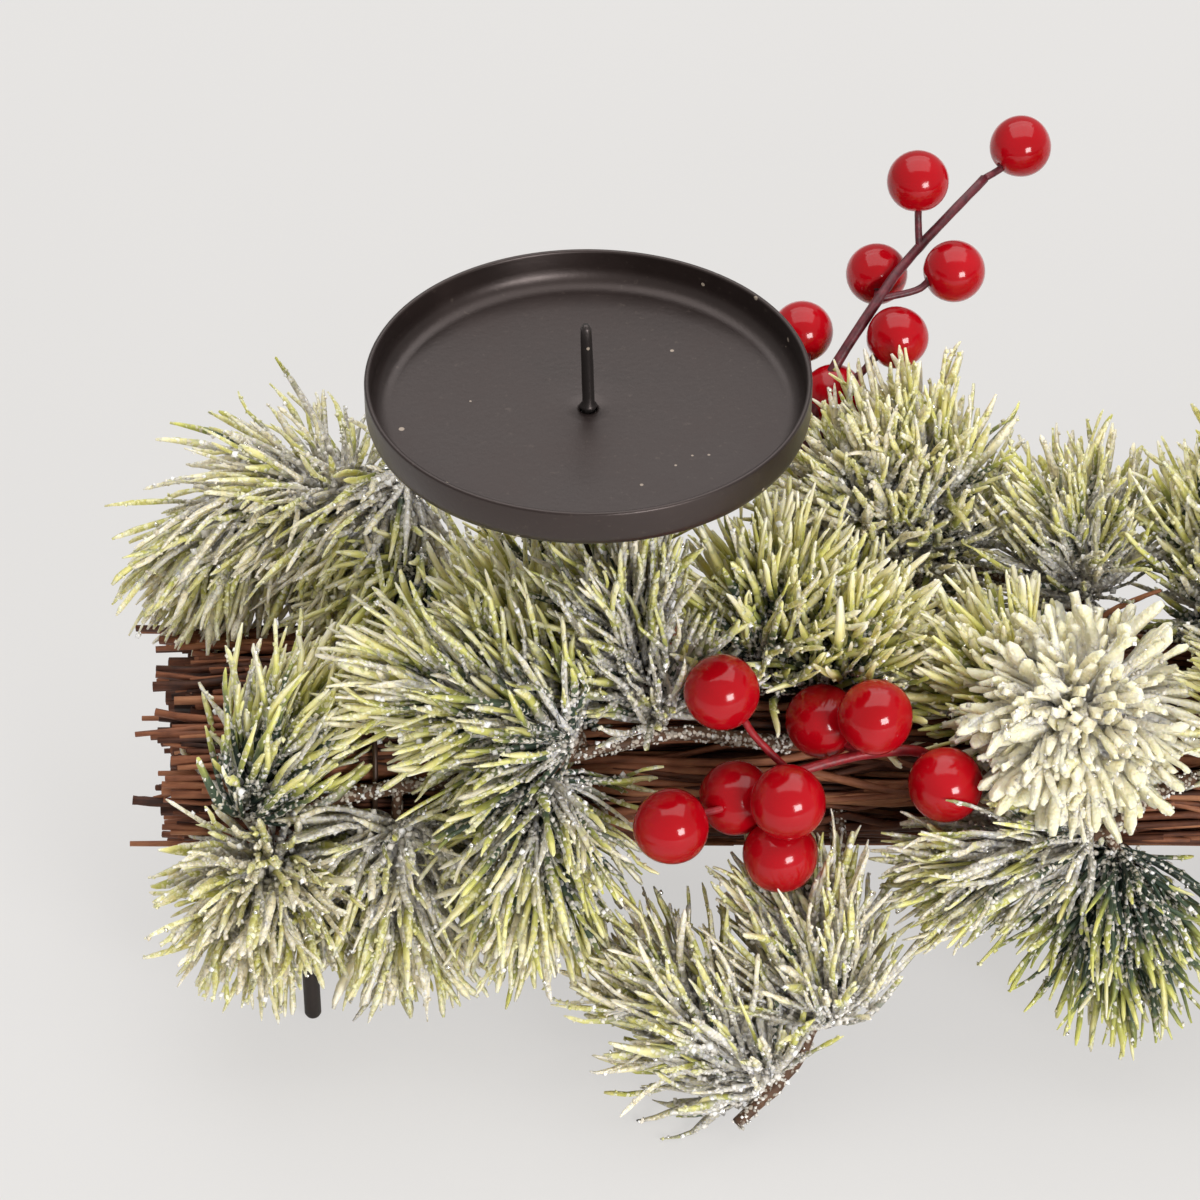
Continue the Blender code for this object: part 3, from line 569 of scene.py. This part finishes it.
def needles(shape, origins, ways, lengths, bends, frost, yellow, broad, rng):
    """Adds curved tapering blades with lumps of frost along them."""
    count, corners, steps = len(origins), NEEDLE_CORNERS, len(NEEDLE_STEPS)
    s = NEEDLE_STEPS[None, :, None]
    wave = rng.normal(0, 0.026, (count, 1, 3)) * np.sin(s * rng.uniform(4, 9, (count, 1, 1)))
    middle = origins[:, None] + lengths[:, None, None] * (
        ways[:, None] * s + bends[:, None] * s * s + wave)
    forward = unit(ways[:, None] + 2 * bends[:, None] * s)
    side = unit(np.cross(ways, rng.normal(size=(count, 3))))
    across = unit(side[:, None] - forward * np.sum(side[:, None] * forward, -1, keepdims=True))
    beside = np.cross(forward, across)
    wide = NEEDLE_WIDTH / 2 * broad * rng.uniform(0.72, 1.15, count)
    thick = NEEDLE_THICKNESS / 2 * broad * rng.uniform(0.8, 1.25, count)
    heavy = np.clip(frost, 0, 1)
    lump = 1 + (0.10 + 0.16 * heavy)[:, None, None] * rng.uniform(-1, 1, (count, steps, corners))
    swell = 1 + (0.20 + 0.20 * heavy[:, None]) * rng.uniform(-0.9, 1, (count, steps))
    girth = np.where((heavy > 0.90)[:, None], BLUNT_SHAPE[None], NEEDLE_SHAPE[None]) * swell
    turns = np.arange(corners) * math.tau / corners
    offset = (np.cos(turns)[None, None, :, None] * across[:, :, None] * wide[:, None, None, None]
              + np.sin(turns)[None, None, :, None] * beside[:, :, None] * thick[:, None, None, None])
    skin = offset * (girth[:, :, None] * lump)[..., None]
    points = middle[:, :, None] + skin
    own = rng.uniform(0, 1, count)
    colours = np.empty((count, steps, corners, 4))
    colours[..., 0] = NEEDLE_STEPS[None, :, None]
    colours[..., 1] = own[:, None, None]
    colours[..., 2] = frost[:, None, None]
    colours[..., 3] = yellow[:, None, None]
    points[..., 2] = np.maximum(points[..., 2], 0.0008 + 0.05 * np.minimum(points[..., 2], 0))
    shape.add(points.reshape(-1, 3), ring_faces(steps, corners, count), 0, colours.reshape(-1, 4))
    return middle, skin, own


GRAIN_POINTS = np.array([(1, 0, 0), (0, 1, 0), (-1, 0, 0), (0, -1, 0), (0, 0, 1), (0, 0, -1)], float)
GRAIN_FACES = np.array([(0, 1, 4), (1, 2, 4), (2, 3, 4), (3, 0, 4),
                        (1, 0, 5), (2, 1, 5), (3, 2, 5), (0, 3, 5)])


def grains(shape, places, sizes, along, rng, kin=0.5):
    """Adds small crystals in every direction, each with its own tone."""
    count = len(places)
    places = np.column_stack([places[:, :2], np.maximum(places[:, 2], 0.0009)])
    tones = np.empty((count, 6, 4))
    tones[..., 0] = np.broadcast_to(along, count)[:, None]
    own = rng.uniform(0, 1, count)
    tones[..., 1] = own[:, None]
    # The near-white grains, white frost with painted glints, are made larger
    sizes = sizes * np.where(own > 0.86, 1.30, 1.0)
    tones[..., 2] = 0.5
    tones[..., 3] = np.broadcast_to(kin, count)[:, None]
    q = unit(rng.normal(size=(count, 4)))
    w, x, y, z = q.T
    turn = np.stack([
        np.stack([1 - 2 * (y * y + z * z), 2 * (x * y - z * w), 2 * (x * z + y * w)], -1),
        np.stack([2 * (x * y + z * w), 1 - 2 * (x * x + z * z), 2 * (y * z - x * w)], -1),
        np.stack([2 * (x * z - y * w), 2 * (y * z + x * w), 1 - 2 * (x * x + y * y)], -1)], 1)
    squash = GRAIN_POINTS[None] * rng.uniform(0.7, 1.15, (count, 1, 3))
    points = places[:, None] + sizes[:, None, None] * np.einsum("nij,nkj->nki", turn, squash)
    faces = GRAIN_FACES[None] + 6 * np.arange(count)[:, None, None]
    shape.add(points.reshape(-1, 3), [faces.reshape(-1, 3)], 2, tones.reshape(-1, 4))


def tuft(shape, base, tip, look, sweep, spread, rng):
    """A brush of needles along its axis, spread at the base and closing towards the tip."""
    frost, yellow, count, broad, longer = LOOKS[look]
    axis = tip - base
    full = np.linalg.norm(axis)
    way = axis / full
    core = max(full - NEEDLE_LENGTH * 0.9, 0.006)
    crown = int(count * (0.34 if frost > 0.95 else 0.22))
    u = np.clip(rng.uniform(-0.15, 1.0, count), 0, 1)
    u[:crown] = 1.0
    turn = np.arange(count) * GOLDEN_ANGLE + rng.uniform(-0.25, 0.25, count)
    first = unit(np.cross(way, (0.31, 0.17, 0.93)))
    second = np.cross(way, first)
    out = np.cos(turn)[:, None] * first + np.sin(turn)[:, None] * second
    lean = np.radians(spread * (1.08 - 0.60 * u**0.8) + rng.normal(0, 12, count))
    lean[:crown] = np.radians(spread * rng.uniform(0.03, 0.72, crown))
    ways = np.cos(lean)[:, None] * way + np.sin(lean)[:, None] * out
    ways = unit(ways + np.array(sweep) * 0.6)
    origins = base + way * (core * u)[:, None] + out * 0.0008
    lengths = NEEDLE_LENGTH * longer * rng.uniform(0.66, 1.08, count)
    lengths *= np.where(u < 0.25, 0.88, 1.0)
    bends = way * rng.uniform(0.04, 0.38, count)[:, None] + rng.normal(0, 0.15, (count, 3))
    bends = bends + np.array(sweep) * 0.5
    bends -= ways * np.sum(bends * ways, 1, keepdims=True)
    steps = NEEDLE_STEPS[None, :, None]
    trail = origins[:, None] + lengths[:, None, None] * (ways[:, None] * steps + bends[:, None] * steps**2)
    gap = np.linalg.norm(trail[:, :, None] - FREE_PLACES, axis=-1) - FREE_RADII
    free = np.min(gap, axis=(1, 2)) > 0.0010
    origins, ways, lengths, bends, u = (item[free] for item in (origins, ways, lengths, bends, u))
    count = len(origins)
    level = np.clip(frost + rng.normal(0, 0.16, count), 0, 0.86)
    if frost > 0.95:
        level = np.clip(frost + rng.normal(0, 0.03, count), 0, 1)
    hue = np.clip(yellow + 0.40 * (u - 0.55) + rng.normal(0, 0.30, count), 0, 1)
    middle, skin, kin = needles(shape, origins, ways, lengths, bends, level, hue, broad, rng)
    many = int(count * (4.2 + 5.8 * frost))
    which = rng.choice(count, many, p=(0.15 + level) / np.sum(0.15 + level))
    far = np.where(rng.uniform(0, 1, many) < 0.72, 0.02 + 0.72 * rng.uniform(
        0, 1, many) ** 1.2, rng.uniform(0.50, 0.99, many))
    step = np.searchsorted(NEEDLE_STEPS, far, side="right") - 1
    part = ((far - NEEDLE_STEPS[step]) / (NEEDLE_STEPS[step + 1] - NEEDLE_STEPS[step]))[:, None]
    edge = rng.integers(0, NEEDLE_CORNERS, many)
    blend = rng.uniform(0, 1, many)[:, None] ** 2
    places = middle[which, step] * (1 - part) + middle[which, step + 1] * part
    places = places + 0.9 * (skin[which, step, edge] * (1 - blend) + blend * skin[
        which, step, (edge + 1) % NEEDLE_CORNERS])
    sizes = (0.00045 + 0.00034 * rng.uniform(0, 1, many) ** 2.0) * np.where(far < 0.65, 1.0, 0.88)
    ripe = np.clip(far + 0.50 * hue[which] - 0.45 if frost < 0.95 else far * 0.4, 0, 1)
    grains(shape, places, sizes, ripe, rng, kin[which] * (1.0 if frost > 0.8 else 0.6))
    many = int(count * (0.4 + 2.0 * frost))
    which = rng.integers(0, count, many)
    far = rng.uniform(0.03, 0.30 if frost < 0.85 else 0.50, (many, 1))
    places = origins[which] + (ways[which] * far + bends[which] * far * far) * lengths[which][:, None]
    places = places + unit(rng.normal(size=(many, 3))) * 0.0009
    coarse = 1.35 if frost > 0.85 else 1.0
    grains(shape, places, coarse * rng.uniform(0.00048, 0.00080, many), 0.1, rng)
    core_path = np.linspace(base, base + way * core, 5)
    tube(shape, core_path, [0.0013, 0.0013, 0.0012, 0.001, 0.0006], 7, 1,
         (0.5, 0.4, frost, 0.5), 0.2, rng)


def make_sprays():
    for order, (plate, letter, anchor, share, path, tufts) in enumerate(SPRAYS):
        rng = np.random.default_rng(300 + order)
        shape = Shape()
        places = anchored(path, plate, anchor, share)
        root = places[0] + (places[0] - places[1]) * 0.35
        line = smooth_path(np.vstack([root, places]), 6)
        line = line + rng.normal(0, 0.00018, line.shape)
        for base, tip, look, sweep, spread in tufts:
            ends = anchored([base, tip], plate, anchor, share)
            near = line[np.argmin(np.linalg.norm(line - ends[0], axis=1))]
            branch = smooth_path([near, (near + ends[0]) / 2, ends[0]], 3)
            tube(shape, branch, 0.0012, 7, 1, (0.5, 0.4, 0.5, 0.5), 0.2, rng)
            tuft(shape, ends[0], ends[1], look, sweep, spread, rng)
        tube(shape, line, np.linspace(0.0016, 0.0012, len(line)), 9, 1,
             (0.5, 0.45, 0.45, 0.5), 0.18, rng)
        part = rng.uniform(0, len(line) - 1.001, STEM_GRAINS)
        step = part.astype(int)
        spots = line[step] + (line[step + 1] - line[step]) * (part - step)[:, None]
        spots = spots + unit(rng.normal(size=(STEM_GRAINS, 3))) * 0.0014
        grains(shape, spots, rng.uniform(0.00030, 0.00058, STEM_GRAINS), 0.2, rng)
        mesh = shape.mesh(f"spray_{plate}{letter}", [NEEDLE, STEM, CRYSTAL])
        show(f"spray_{plate}{letter}", mesh, f"pine_spray_{plate}{letter}")
        twin = 5 - plate
        show(f"spray_{twin}{letter}", mesh, f"pine_spray_{twin}{letter}",
             turn=math.pi)


# Berry picks


def berry(shape, centre, away, radius, rng):
    """A round berry with a shallow dimple where its stem goes in."""
    sides, rings = 36, 22
    polar = np.linspace(0.0, math.pi, rings)
    reach = radius * (1 - 0.10 * np.exp(-((math.pi - polar) / 0.22) ** 2))
    profile = [(max(r * math.sin(a), 1e-5), r * math.cos(a)) for r, a in zip(reach, polar)]
    points, faces = turned(profile, sides)
    wobble = 1 + 0.012 * np.sin(points @ rng.normal(0, 260, 3))
    points = points * wobble[:, None]
    top = unit(np.asarray(away, float))
    first = unit(np.cross(top, (0.2, 0.9, 0.3)))
    turn = np.stack([first, np.cross(top, first), top], 1)
    shape.add(points @ turn.T + centre, faces, 0)


def make_picks():
    for order, (plate, letter, anchor, share, radius, path, berries) in enumerate(PICKS):
        rng = np.random.default_rng(500 + order)
        shape = Shape()
        places = anchored(path, plate, anchor, share)
        root = places[0] + (places[0] - places[1]) * 0.5
        line = smooth_path(np.vstack([root, places]), 8)
        tone = (0.5, 1.0 if letter == "a" else 0.0, 0.0, 0.5)
        tube(shape, line, np.linspace(0.0012, 0.0009, len(line)), 12, 1, tone, 0.06, rng)
        for start, centre in berries:
            middle = anchored([centre], plate, anchor, share)[0]
            near = line[min((start + 1) * 8, len(line) - 1)]
            way = unit(middle - near)
            sag = np.array((0, 0, -0.0012))
            tube(shape, smooth_path([near, (near + middle) / 2 + sag, middle - way * radius * 0.85], 5),
                 [0.0007] * 10 + [0.0010], 9, 1, tone, 0.05, rng)
            berry(shape, middle, way, radius, rng)
        mesh = shape.mesh(f"pick_{plate}{letter}", [BERRY, PICK])
        show(f"pick_{plate}{letter}", mesh, f"berry_pick_{plate}{letter}")
        twin = 5 - plate
        show(f"pick_{twin}{letter}", mesh, f"berry_pick_{twin}{letter}", turn=math.pi)


# Twig bundle


def make_twigs():
    """Thin twigs laid side by side in six strands, with staggered cut ends and loose twigs outside."""
    rng = np.random.default_rng(77)
    shapes = [Shape() for _ in range(6)]
    places = []
    for row in range(-6, 7):
        for column in range(-8, 9):
            places.append(((column + 0.5 * (row % 2)) * 0.0027, row * 0.0026, 0.0014))
    places = [(y, z, r) for y, z, r in places
              if (abs(y) / BUNDLE_Y) ** 2.3 + (abs(z) / BUNDLE_Z) ** 2.3 < 0.62]
    for depth, count in ((0.76, 60), (0.85, 64), (0.92, 66), (0.98, 66)):
        for number in range(count):
            turn = (number + rng.uniform(-0.35, 0.35)) * math.tau / count
            c, s = math.cos(turn), math.sin(turn)
            places.append((depth * BUNDLE_Y * math.copysign(abs(c) ** 0.87, c),
                           depth * BUNDLE_Z * math.copysign(abs(s) ** 0.87, s),
                           rng.uniform(0.00042, 0.00086)))
    for y, z, radius in places:
        outer = radius < 0.001
        stations = np.linspace(-1, 1, 84 if outer else 20)
        left = BUNDLE_END + rng.uniform(-0.009, 0.006)
        right = BUNDLE_END + rng.uniform(-0.009, 0.006)
        x = np.where(stations < 0, stations * left, stations * right)
        wander = np.zeros((len(x), 2))
        for wave in rng.uniform((0.018, 0.03, 0.05, 0.08, 0.12), (0.03, 0.05, 0.08, 0.12, 0.20)):
            shift = rng.uniform(0, math.tau)
            size = (0.0003 + 0.008 * wave) if outer else 0.0003
            wander += np.sin(x / wave * math.tau + shift)[:, None] * rng.normal(0, size, 2)
        drift = (x / BUNDLE_END)[:, None] * rng.normal(0, 0.0060 if outer else 0.0004, 2)
        line = np.column_stack([x, y + wander[:, 0] + drift[:, 0], z + wander[:, 1] + drift[:, 1]])
        over = (np.abs(line[:, 1]) / BUNDLE_Y) ** 2.2 + (np.abs(line[:, 2]) / BUNDLE_Z) ** 2.2
        pull = np.where(over > 0.98, (0.98 / over) ** (1 / 2.2), 1.0)
        line[:, 1:] *= pull[:, None]
        line[:, 2] += BUNDLE_MIDDLE
        side = 0 if y < 0 else 3
        third = 2 if abs(y) > 0.0115 else (0 if z < 0 else 1)
        radii = radius * np.linspace(1.1, 0.8, len(x)) * rng.uniform(0.93, 1.07, len(x))
        if rng.uniform() < 0.5:
            radii = radii[::-1]
        # Twigs inside the bundle take only the darkest tones: painted shade in the gaps between the outer
        # twigs
        tone = rng.uniform() if outer else rng.uniform(0.0, 0.3)
        tube(shapes[side + third], line, radii, 6, 0, (0.5, tone, 0.0, 0.5), 0.06, rng)
    for shape, side in zip((shapes[2], shapes[5]), (-1, 1)):
        for _ in range(46):
            end = rng.choice((-1, 1)) if rng.uniform() < 0.55 else 0
            start = rng.uniform(-0.29, 0.20) if end == 0 else end * rng.uniform(0.24, 0.27)
            long = rng.uniform(0.04, 0.09) if end == 0 else BUNDLE_END - abs(start) + rng.uniform(
                -0.002, 0.012)
            a = rng.uniform(-1.3, 1.3)
            lift = rng.uniform(-0.05, 0.05)
            way = 1 if end == 0 else end
            t = np.linspace(0, 1, 9)
            b = a + lift * t * 6
            grow = 1.0 + 0.04 * t
            line = np.column_stack([
                start + way * long * t,
                side * BUNDLE_Y * 0.99 * grow * np.abs(np.cos(b)) ** 0.9,
                BUNDLE_MIDDLE + BUNDLE_Z * 0.99 * grow * np.sin(b)])
            tube(shape, line, np.linspace(0.0009, 0.0005, 9), 6, 0, (0.5, rng.uniform(), 0.0, 0.5),
                 0.08, rng)
    stick = smooth_path(np.array([
        (-0.290, -0.0170, 0.0395), (-0.308, -0.0185, 0.0385), (-0.3150, -0.0190, 0.0388),
        (-0.3196, -0.0190, 0.0392)]), 4)
    tube(shapes[2], stick, np.linspace(0.0010, 0.0009, len(stick)), 7, 0, (0.5, 0.0, 0.0, 0.5), 0.1, rng)
    stray = smooth_path(np.array([
        (-0.152, 0.000, 0.050), (-0.143, 0.0024, 0.060), (-0.1361, 0.0040, 0.066),
        (-0.131, 0.0033, 0.070), (-0.1271, 0.0032, 0.072)]), 4)
    tube(shapes[4], stray, np.linspace(0.0008, 0.0004, len(stray)), 6, 0, (0.5, 0.95, 0.0, 0.5), 0.1, rng)
    for number, shape in enumerate(shapes, 1):
        mesh = shape.mesh(f"twigs_{number}", [TWIG])
        show(f"twigs_{number}", mesh, f"twig_strand_{number}")


# Metal pieces


def arc_points(r, z, radius, start, end, steps):
    angles = np.radians(np.linspace(start, end, steps + 1))
    return [(r + radius * math.cos(a), z + radius * math.sin(a)) for a in angles]


def make_dishes():
    """Pressed dishes with a softly rounded corner and a rolled edge."""
    outer, sheet = PLATE_RADIUS, PLATE_FLOOR - PLATE_BOTTOM
    inner = outer - sheet
    profile = [(0.0016, PLATE_BOTTOM), (0.010, PLATE_BOTTOM), (0.030, PLATE_BOTTOM)]
    profile += arc_points(outer - 0.003, PLATE_BOTTOM + 0.003, 0.003, -90, 0, 8)
    profile += arc_points((outer + inner) / 2, PLATE_RIM - sheet / 2, sheet / 2, 0, 180, 8)
    profile += arc_points(inner - 0.0035, PLATE_FLOOR + 0.0035, 0.0035, 0, -90, 10)
    profile += [(0.030, PLATE_FLOOR), (0.020, PLATE_FLOOR), (0.010, PLATE_FLOOR)]
    profile += [(0.0045, PLATE_FLOOR), (0.0022, PLATE_FLOOR - 0.0001), (0.0016, PLATE_FLOOR - 0.0003)]
    points, faces = turned(profile, 144)
    turn = np.arctan2(points[:, 1], points[:, 0])
    reach = np.hypot(points[:, 0], points[:, 1]) / outer
    points[:, 2] += 0.00012 * reach**3 * np.sin(3 * turn + 0.7)
    faces = faces[:1] + [np.column_stack([
        np.arange(144) + 144 * (len(profile) - 1), (np.arange(144) + 1) % 144
        + 144 * (len(profile) - 1), (np.arange(144) + 1) % 144, np.arange(144)])]
    shape = Shape()
    shape.add(points, faces)
    mesh = shape.mesh("dish", [DISH])
    for number, x in enumerate(PLATE_XS, 1):
        show(f"dish_{number}", mesh, f"candle_plate_{number}", (x, 0, 0),
             0.0 if number < 3 else math.pi)


def make_pins():
    """Cut wire pins: rough, leaning a little, with a burr at the foot."""
    rng = np.random.default_rng(9)
    shape = Shape()
    z = np.array([0.108, 0.1170, 0.1174, 0.1178, 0.1184, 0.120, 0.123, 0.126, 0.129, 0.132, 0.1341,
                  SPIKE_TOP])
    radii = np.array([1.1, 1.1, 1.6, 1.5, 1.1, 1.08, 1.1, 1.07, 1.1, 1.05, 0.98, 0.55]) * MM
    lean = np.clip(z - 0.121, 0, 1)
    line = np.column_stack([-0.030 * lean, 0.012 * lean, z])
    tube(shape, line, radii, 16, 0, rough=0.07, rng=rng)
    mesh = shape.mesh("pin", [BLACK])
    for number, x in enumerate(PLATE_XS, 1):
        show(f"pin_{number}", mesh, f"candle_spike_{number}", (x, 0, 0),
             0.0 if number < 3 else math.pi)


def make_stand():
    profile = [(0.0, RAIL_BOTTOM - 0.0006), (0.0018, RAIL_BOTTOM - 0.0005), (0.0022, RAIL_BOTTOM)]
    profile += [(0.0016, RAIL_BOTTOM + 0.0001), (0.0016, RAIL_TOP + 0.0003)]
    profile += [(0.0023, RAIL_TOP + 0.0003), (0.0025, RAIL_TOP + 0.0005)]
    profile += [(0.0025, POST_TOP - 0.0026), (0.0028, POST_TOP - 0.0014)]
    profile += [(0.0036, POST_TOP - 0.0005), (0.0043, POST_TOP)]
    profile += [(0.0013, POST_TOP), (0.0, POST_TOP)]
    profile = [(max(r, 1e-5), z) for r, z in profile]
    shape = Shape()
    points, faces = turned(profile, 32)
    shape.add(points, faces)
    mesh = shape.mesh("post", [BLACK])
    for number, x in enumerate(PLATE_XS, 1):
        show(f"post_{number}", mesh, f"candle_post_{number}", (x, 0, 0))

    shape = Shape()
    half, radius, edge = 0.292 - 0.006, 0.006, 0.0004
    rings = []
    for z, inset in ((RAIL_BOTTOM, edge), (RAIL_BOTTOM + edge * 0.3, edge * 0.3),
                     (RAIL_BOTTOM + edge, 0), (RAIL_TOP - edge, 0),
                     (RAIL_TOP - edge * 0.3, edge * 0.3), (RAIL_TOP, edge)):
        turns = np.radians(np.concatenate([np.linspace(-90, 90, 17), np.linspace(90, 270, 17)]))
        shift = np.repeat([half, -half], 17)
        rings.append(np.column_stack([
            shift + (radius - inset) * np.cos(turns), (radius - inset) * np.sin(turns),
            np.full(34, z)]))
    shape.add(np.vstack(rings), ring_faces(6, 34, 1))
    show("rail", shape.mesh("rail", [BLACK]), "stand_rail")

    shape = Shape()
    side, level, bend, bar = HOOP_SIDE, 0.0166, 0.006, 0.0016
    corner = arc_points(side - bend, level - bend, bend, 0, 90, 10)
    leg = [(side, 0.0), (side, 0.0003), (side, 0.0009), (side, 0.003), (side, 0.006)]
    half_path = leg + corner + [(0.015, level), (0.0, level)]
    whole = half_path + [(-y, z) for y, z in reversed(half_path[:-1])]
    line = np.array([(0.0, y, z) for y, z in whole])
    radii = np.full(len(line), bar)
    radii[[0, 1, 2]] = radii[[-1, -2, -3]] = (0.0009, 0.0013, bar)
    tube(shape, line, radii, 24)
    mesh = shape.mesh("leg_hoop", [BLACK])
    show("leg_hoop_left", mesh, "stand_leg_hoop_left", (-HOOP_X, 0, 0))
    show("leg_hoop_right", mesh, "stand_leg_hoop_right", (HOOP_X, 0, 0))


def make_wires():
    """Florist's wire round the bundle and the rail, with its ends twisted together on top."""
    wide, top, bottom = BUNDLE_Y + 0.0011, BUNDLE_TOP + 0.0011, RAIL_BOTTOM - 0.0011
    middle, tall, power = (top + bottom) / 2, (top - bottom) / 2, 2 / 2.9
    turns = np.linspace(0, math.tau, 97)[:-1]
    c, s = np.cos(turns), np.sin(turns)
    loop = np.column_stack([
        0.0004 * np.sin(3 * turns), wide * np.sign(c) * np.abs(c) ** power,
        middle + tall * np.sign(s) * np.abs(s) ** power])
    shape = Shape()
    tube(shape, np.vstack([loop, loop[:1]]), 0.0005, 8)
    twist = np.linspace(0, 1, 40)
    for phase in (0, math.pi):
        spin = twist * math.tau * 3 + phase
        line = np.column_stack([
            0.0005 * np.cos(spin) + 0.004 * twist, -0.005 + 0.0005 * np.sin(spin) - 0.004 * twist,
            top + 0.0005 + 0.003 * np.sin(twist * 2.2)])
        tube(shape, line, 0.00045, 7)
    mesh = shape.mesh("binding", [WIRE])
    for number, x in enumerate((-WIRE_X, 0.0, WIRE_X), 1):
        show(f"binding_{number}", mesh, f"binding_wire_{number}", (x, 0, 0))


# Stage


def make_floor():
    """Pale paper that the camera sees nearly evenly lit, with a faint trace of the shadows."""
    made, tree, shader = new_material("floor_paper")
    cloud = noise(tree, 3.0, 2.0)
    colour = ramp(tree, cloud, [(0.3, (0.728, 0.716, 0.703)), (0.7, (0.742, 0.730, 0.717))])
    tree.links.new(colour, shader.inputs["Base Color"])
    shader.inputs["Roughness"].default_value = 0.9
    shader.inputs["Specular IOR Level"].default_value = 0.1
    even = node(tree, "Emission", {"Color": (0.764, 0.749, 0.734, 1), "Strength": 1.0})
    path = tree.nodes.new("ShaderNodeLightPath")
    mix = tree.nodes.new("ShaderNodeMixShader")
    put(tree, mix.inputs[0], maths(tree, "MULTIPLY", path.outputs["Is Camera Ray"], 0.76))
    tree.links.new(shader.outputs[0], mix.inputs[1])
    tree.links.new(even.outputs[0], mix.inputs[2])
    tree.links.new(mix.outputs[0], tree.nodes["Material Output"].inputs["Surface"])
    mesh = bpy.data.meshes.new("floor")
    mesh.from_pydata([(-6, -6, 0), (6, -6, 0), (6, 6, 0), (-6, 6, 0)], [], [(0, 1, 2, 3)])
    mesh.materials.append(made)
    floor = bpy.data.objects.new("floor", mesh)
    bpy.context.scene.collection.objects.link(floor)


def make_light(name, place, target, size, power):
    data = bpy.data.lights.new(name, "AREA")
    data.shape = "RECTANGLE"
    data.size, data.size_y = size
    data.energy = power
    made = bpy.data.objects.new(name, data)
    made.location = place
    made.rotation_euler = (Vector(target) - Vector(place)).to_track_quat("-Z", "Y").to_euler()
    bpy.context.scene.collection.objects.link(made)


def make_world():
    world = bpy.data.worlds.new("studio")
    bpy.context.scene.world = world
    world.use_nodes = True
    tree = world.node_tree
    sky = tree.nodes["Background"]
    seen = node(tree, "Background", {"Color": (0.768, 0.753, 0.738, 1), "Strength": 1.0})
    path = tree.nodes.new("ShaderNodeLightPath")
    sky.inputs["Color"].default_value = (1.0, 0.985, 0.965, 1)
    sky.inputs["Strength"].default_value = 0.45
    mix = tree.nodes.new("ShaderNodeMixShader")
    put(tree, mix.inputs[0], path.outputs["Is Camera Ray"])
    tree.links.new(sky.outputs[0], mix.inputs[1])
    tree.links.new(seen.outputs[0], mix.inputs[2])
    tree.links.new(mix.outputs[0], tree.nodes["World Output"].inputs["Surface"])


def make_camera():
    data = bpy.data.cameras.new("camera")
    data.lens = 126.0
    data.sensor_width = 36.0
    made = bpy.data.objects.new("camera", data)
    made.location = (-0.2319, -0.6033, 0.5696)
    made.rotation_euler = (math.radians(90 - 39.5), 0, 0)
    bpy.context.scene.collection.objects.link(made)
    bpy.context.scene.camera = made


make_twigs()
make_sprays()
make_picks()
make_dishes()
make_pins()
make_stand()
make_wires()
make_floor()
make_light("overhead", (-0.15, 0.25, 1.60), (-0.15, 0.0, 0.05), (2.2, 1.4), 19.6)
make_light("behind", (-0.2, 1.15, 1.35), (-0.2, 0.0, 0.1), (1.8, 0.62), 6.2)
make_light("front", (0.36, -1.05, 0.50), (-0.19, 0.0, 0.06), (0.46, 0.38), 12.2)
make_world()
make_camera()
bpy.context.scene.view_settings.view_transform = "Standard"
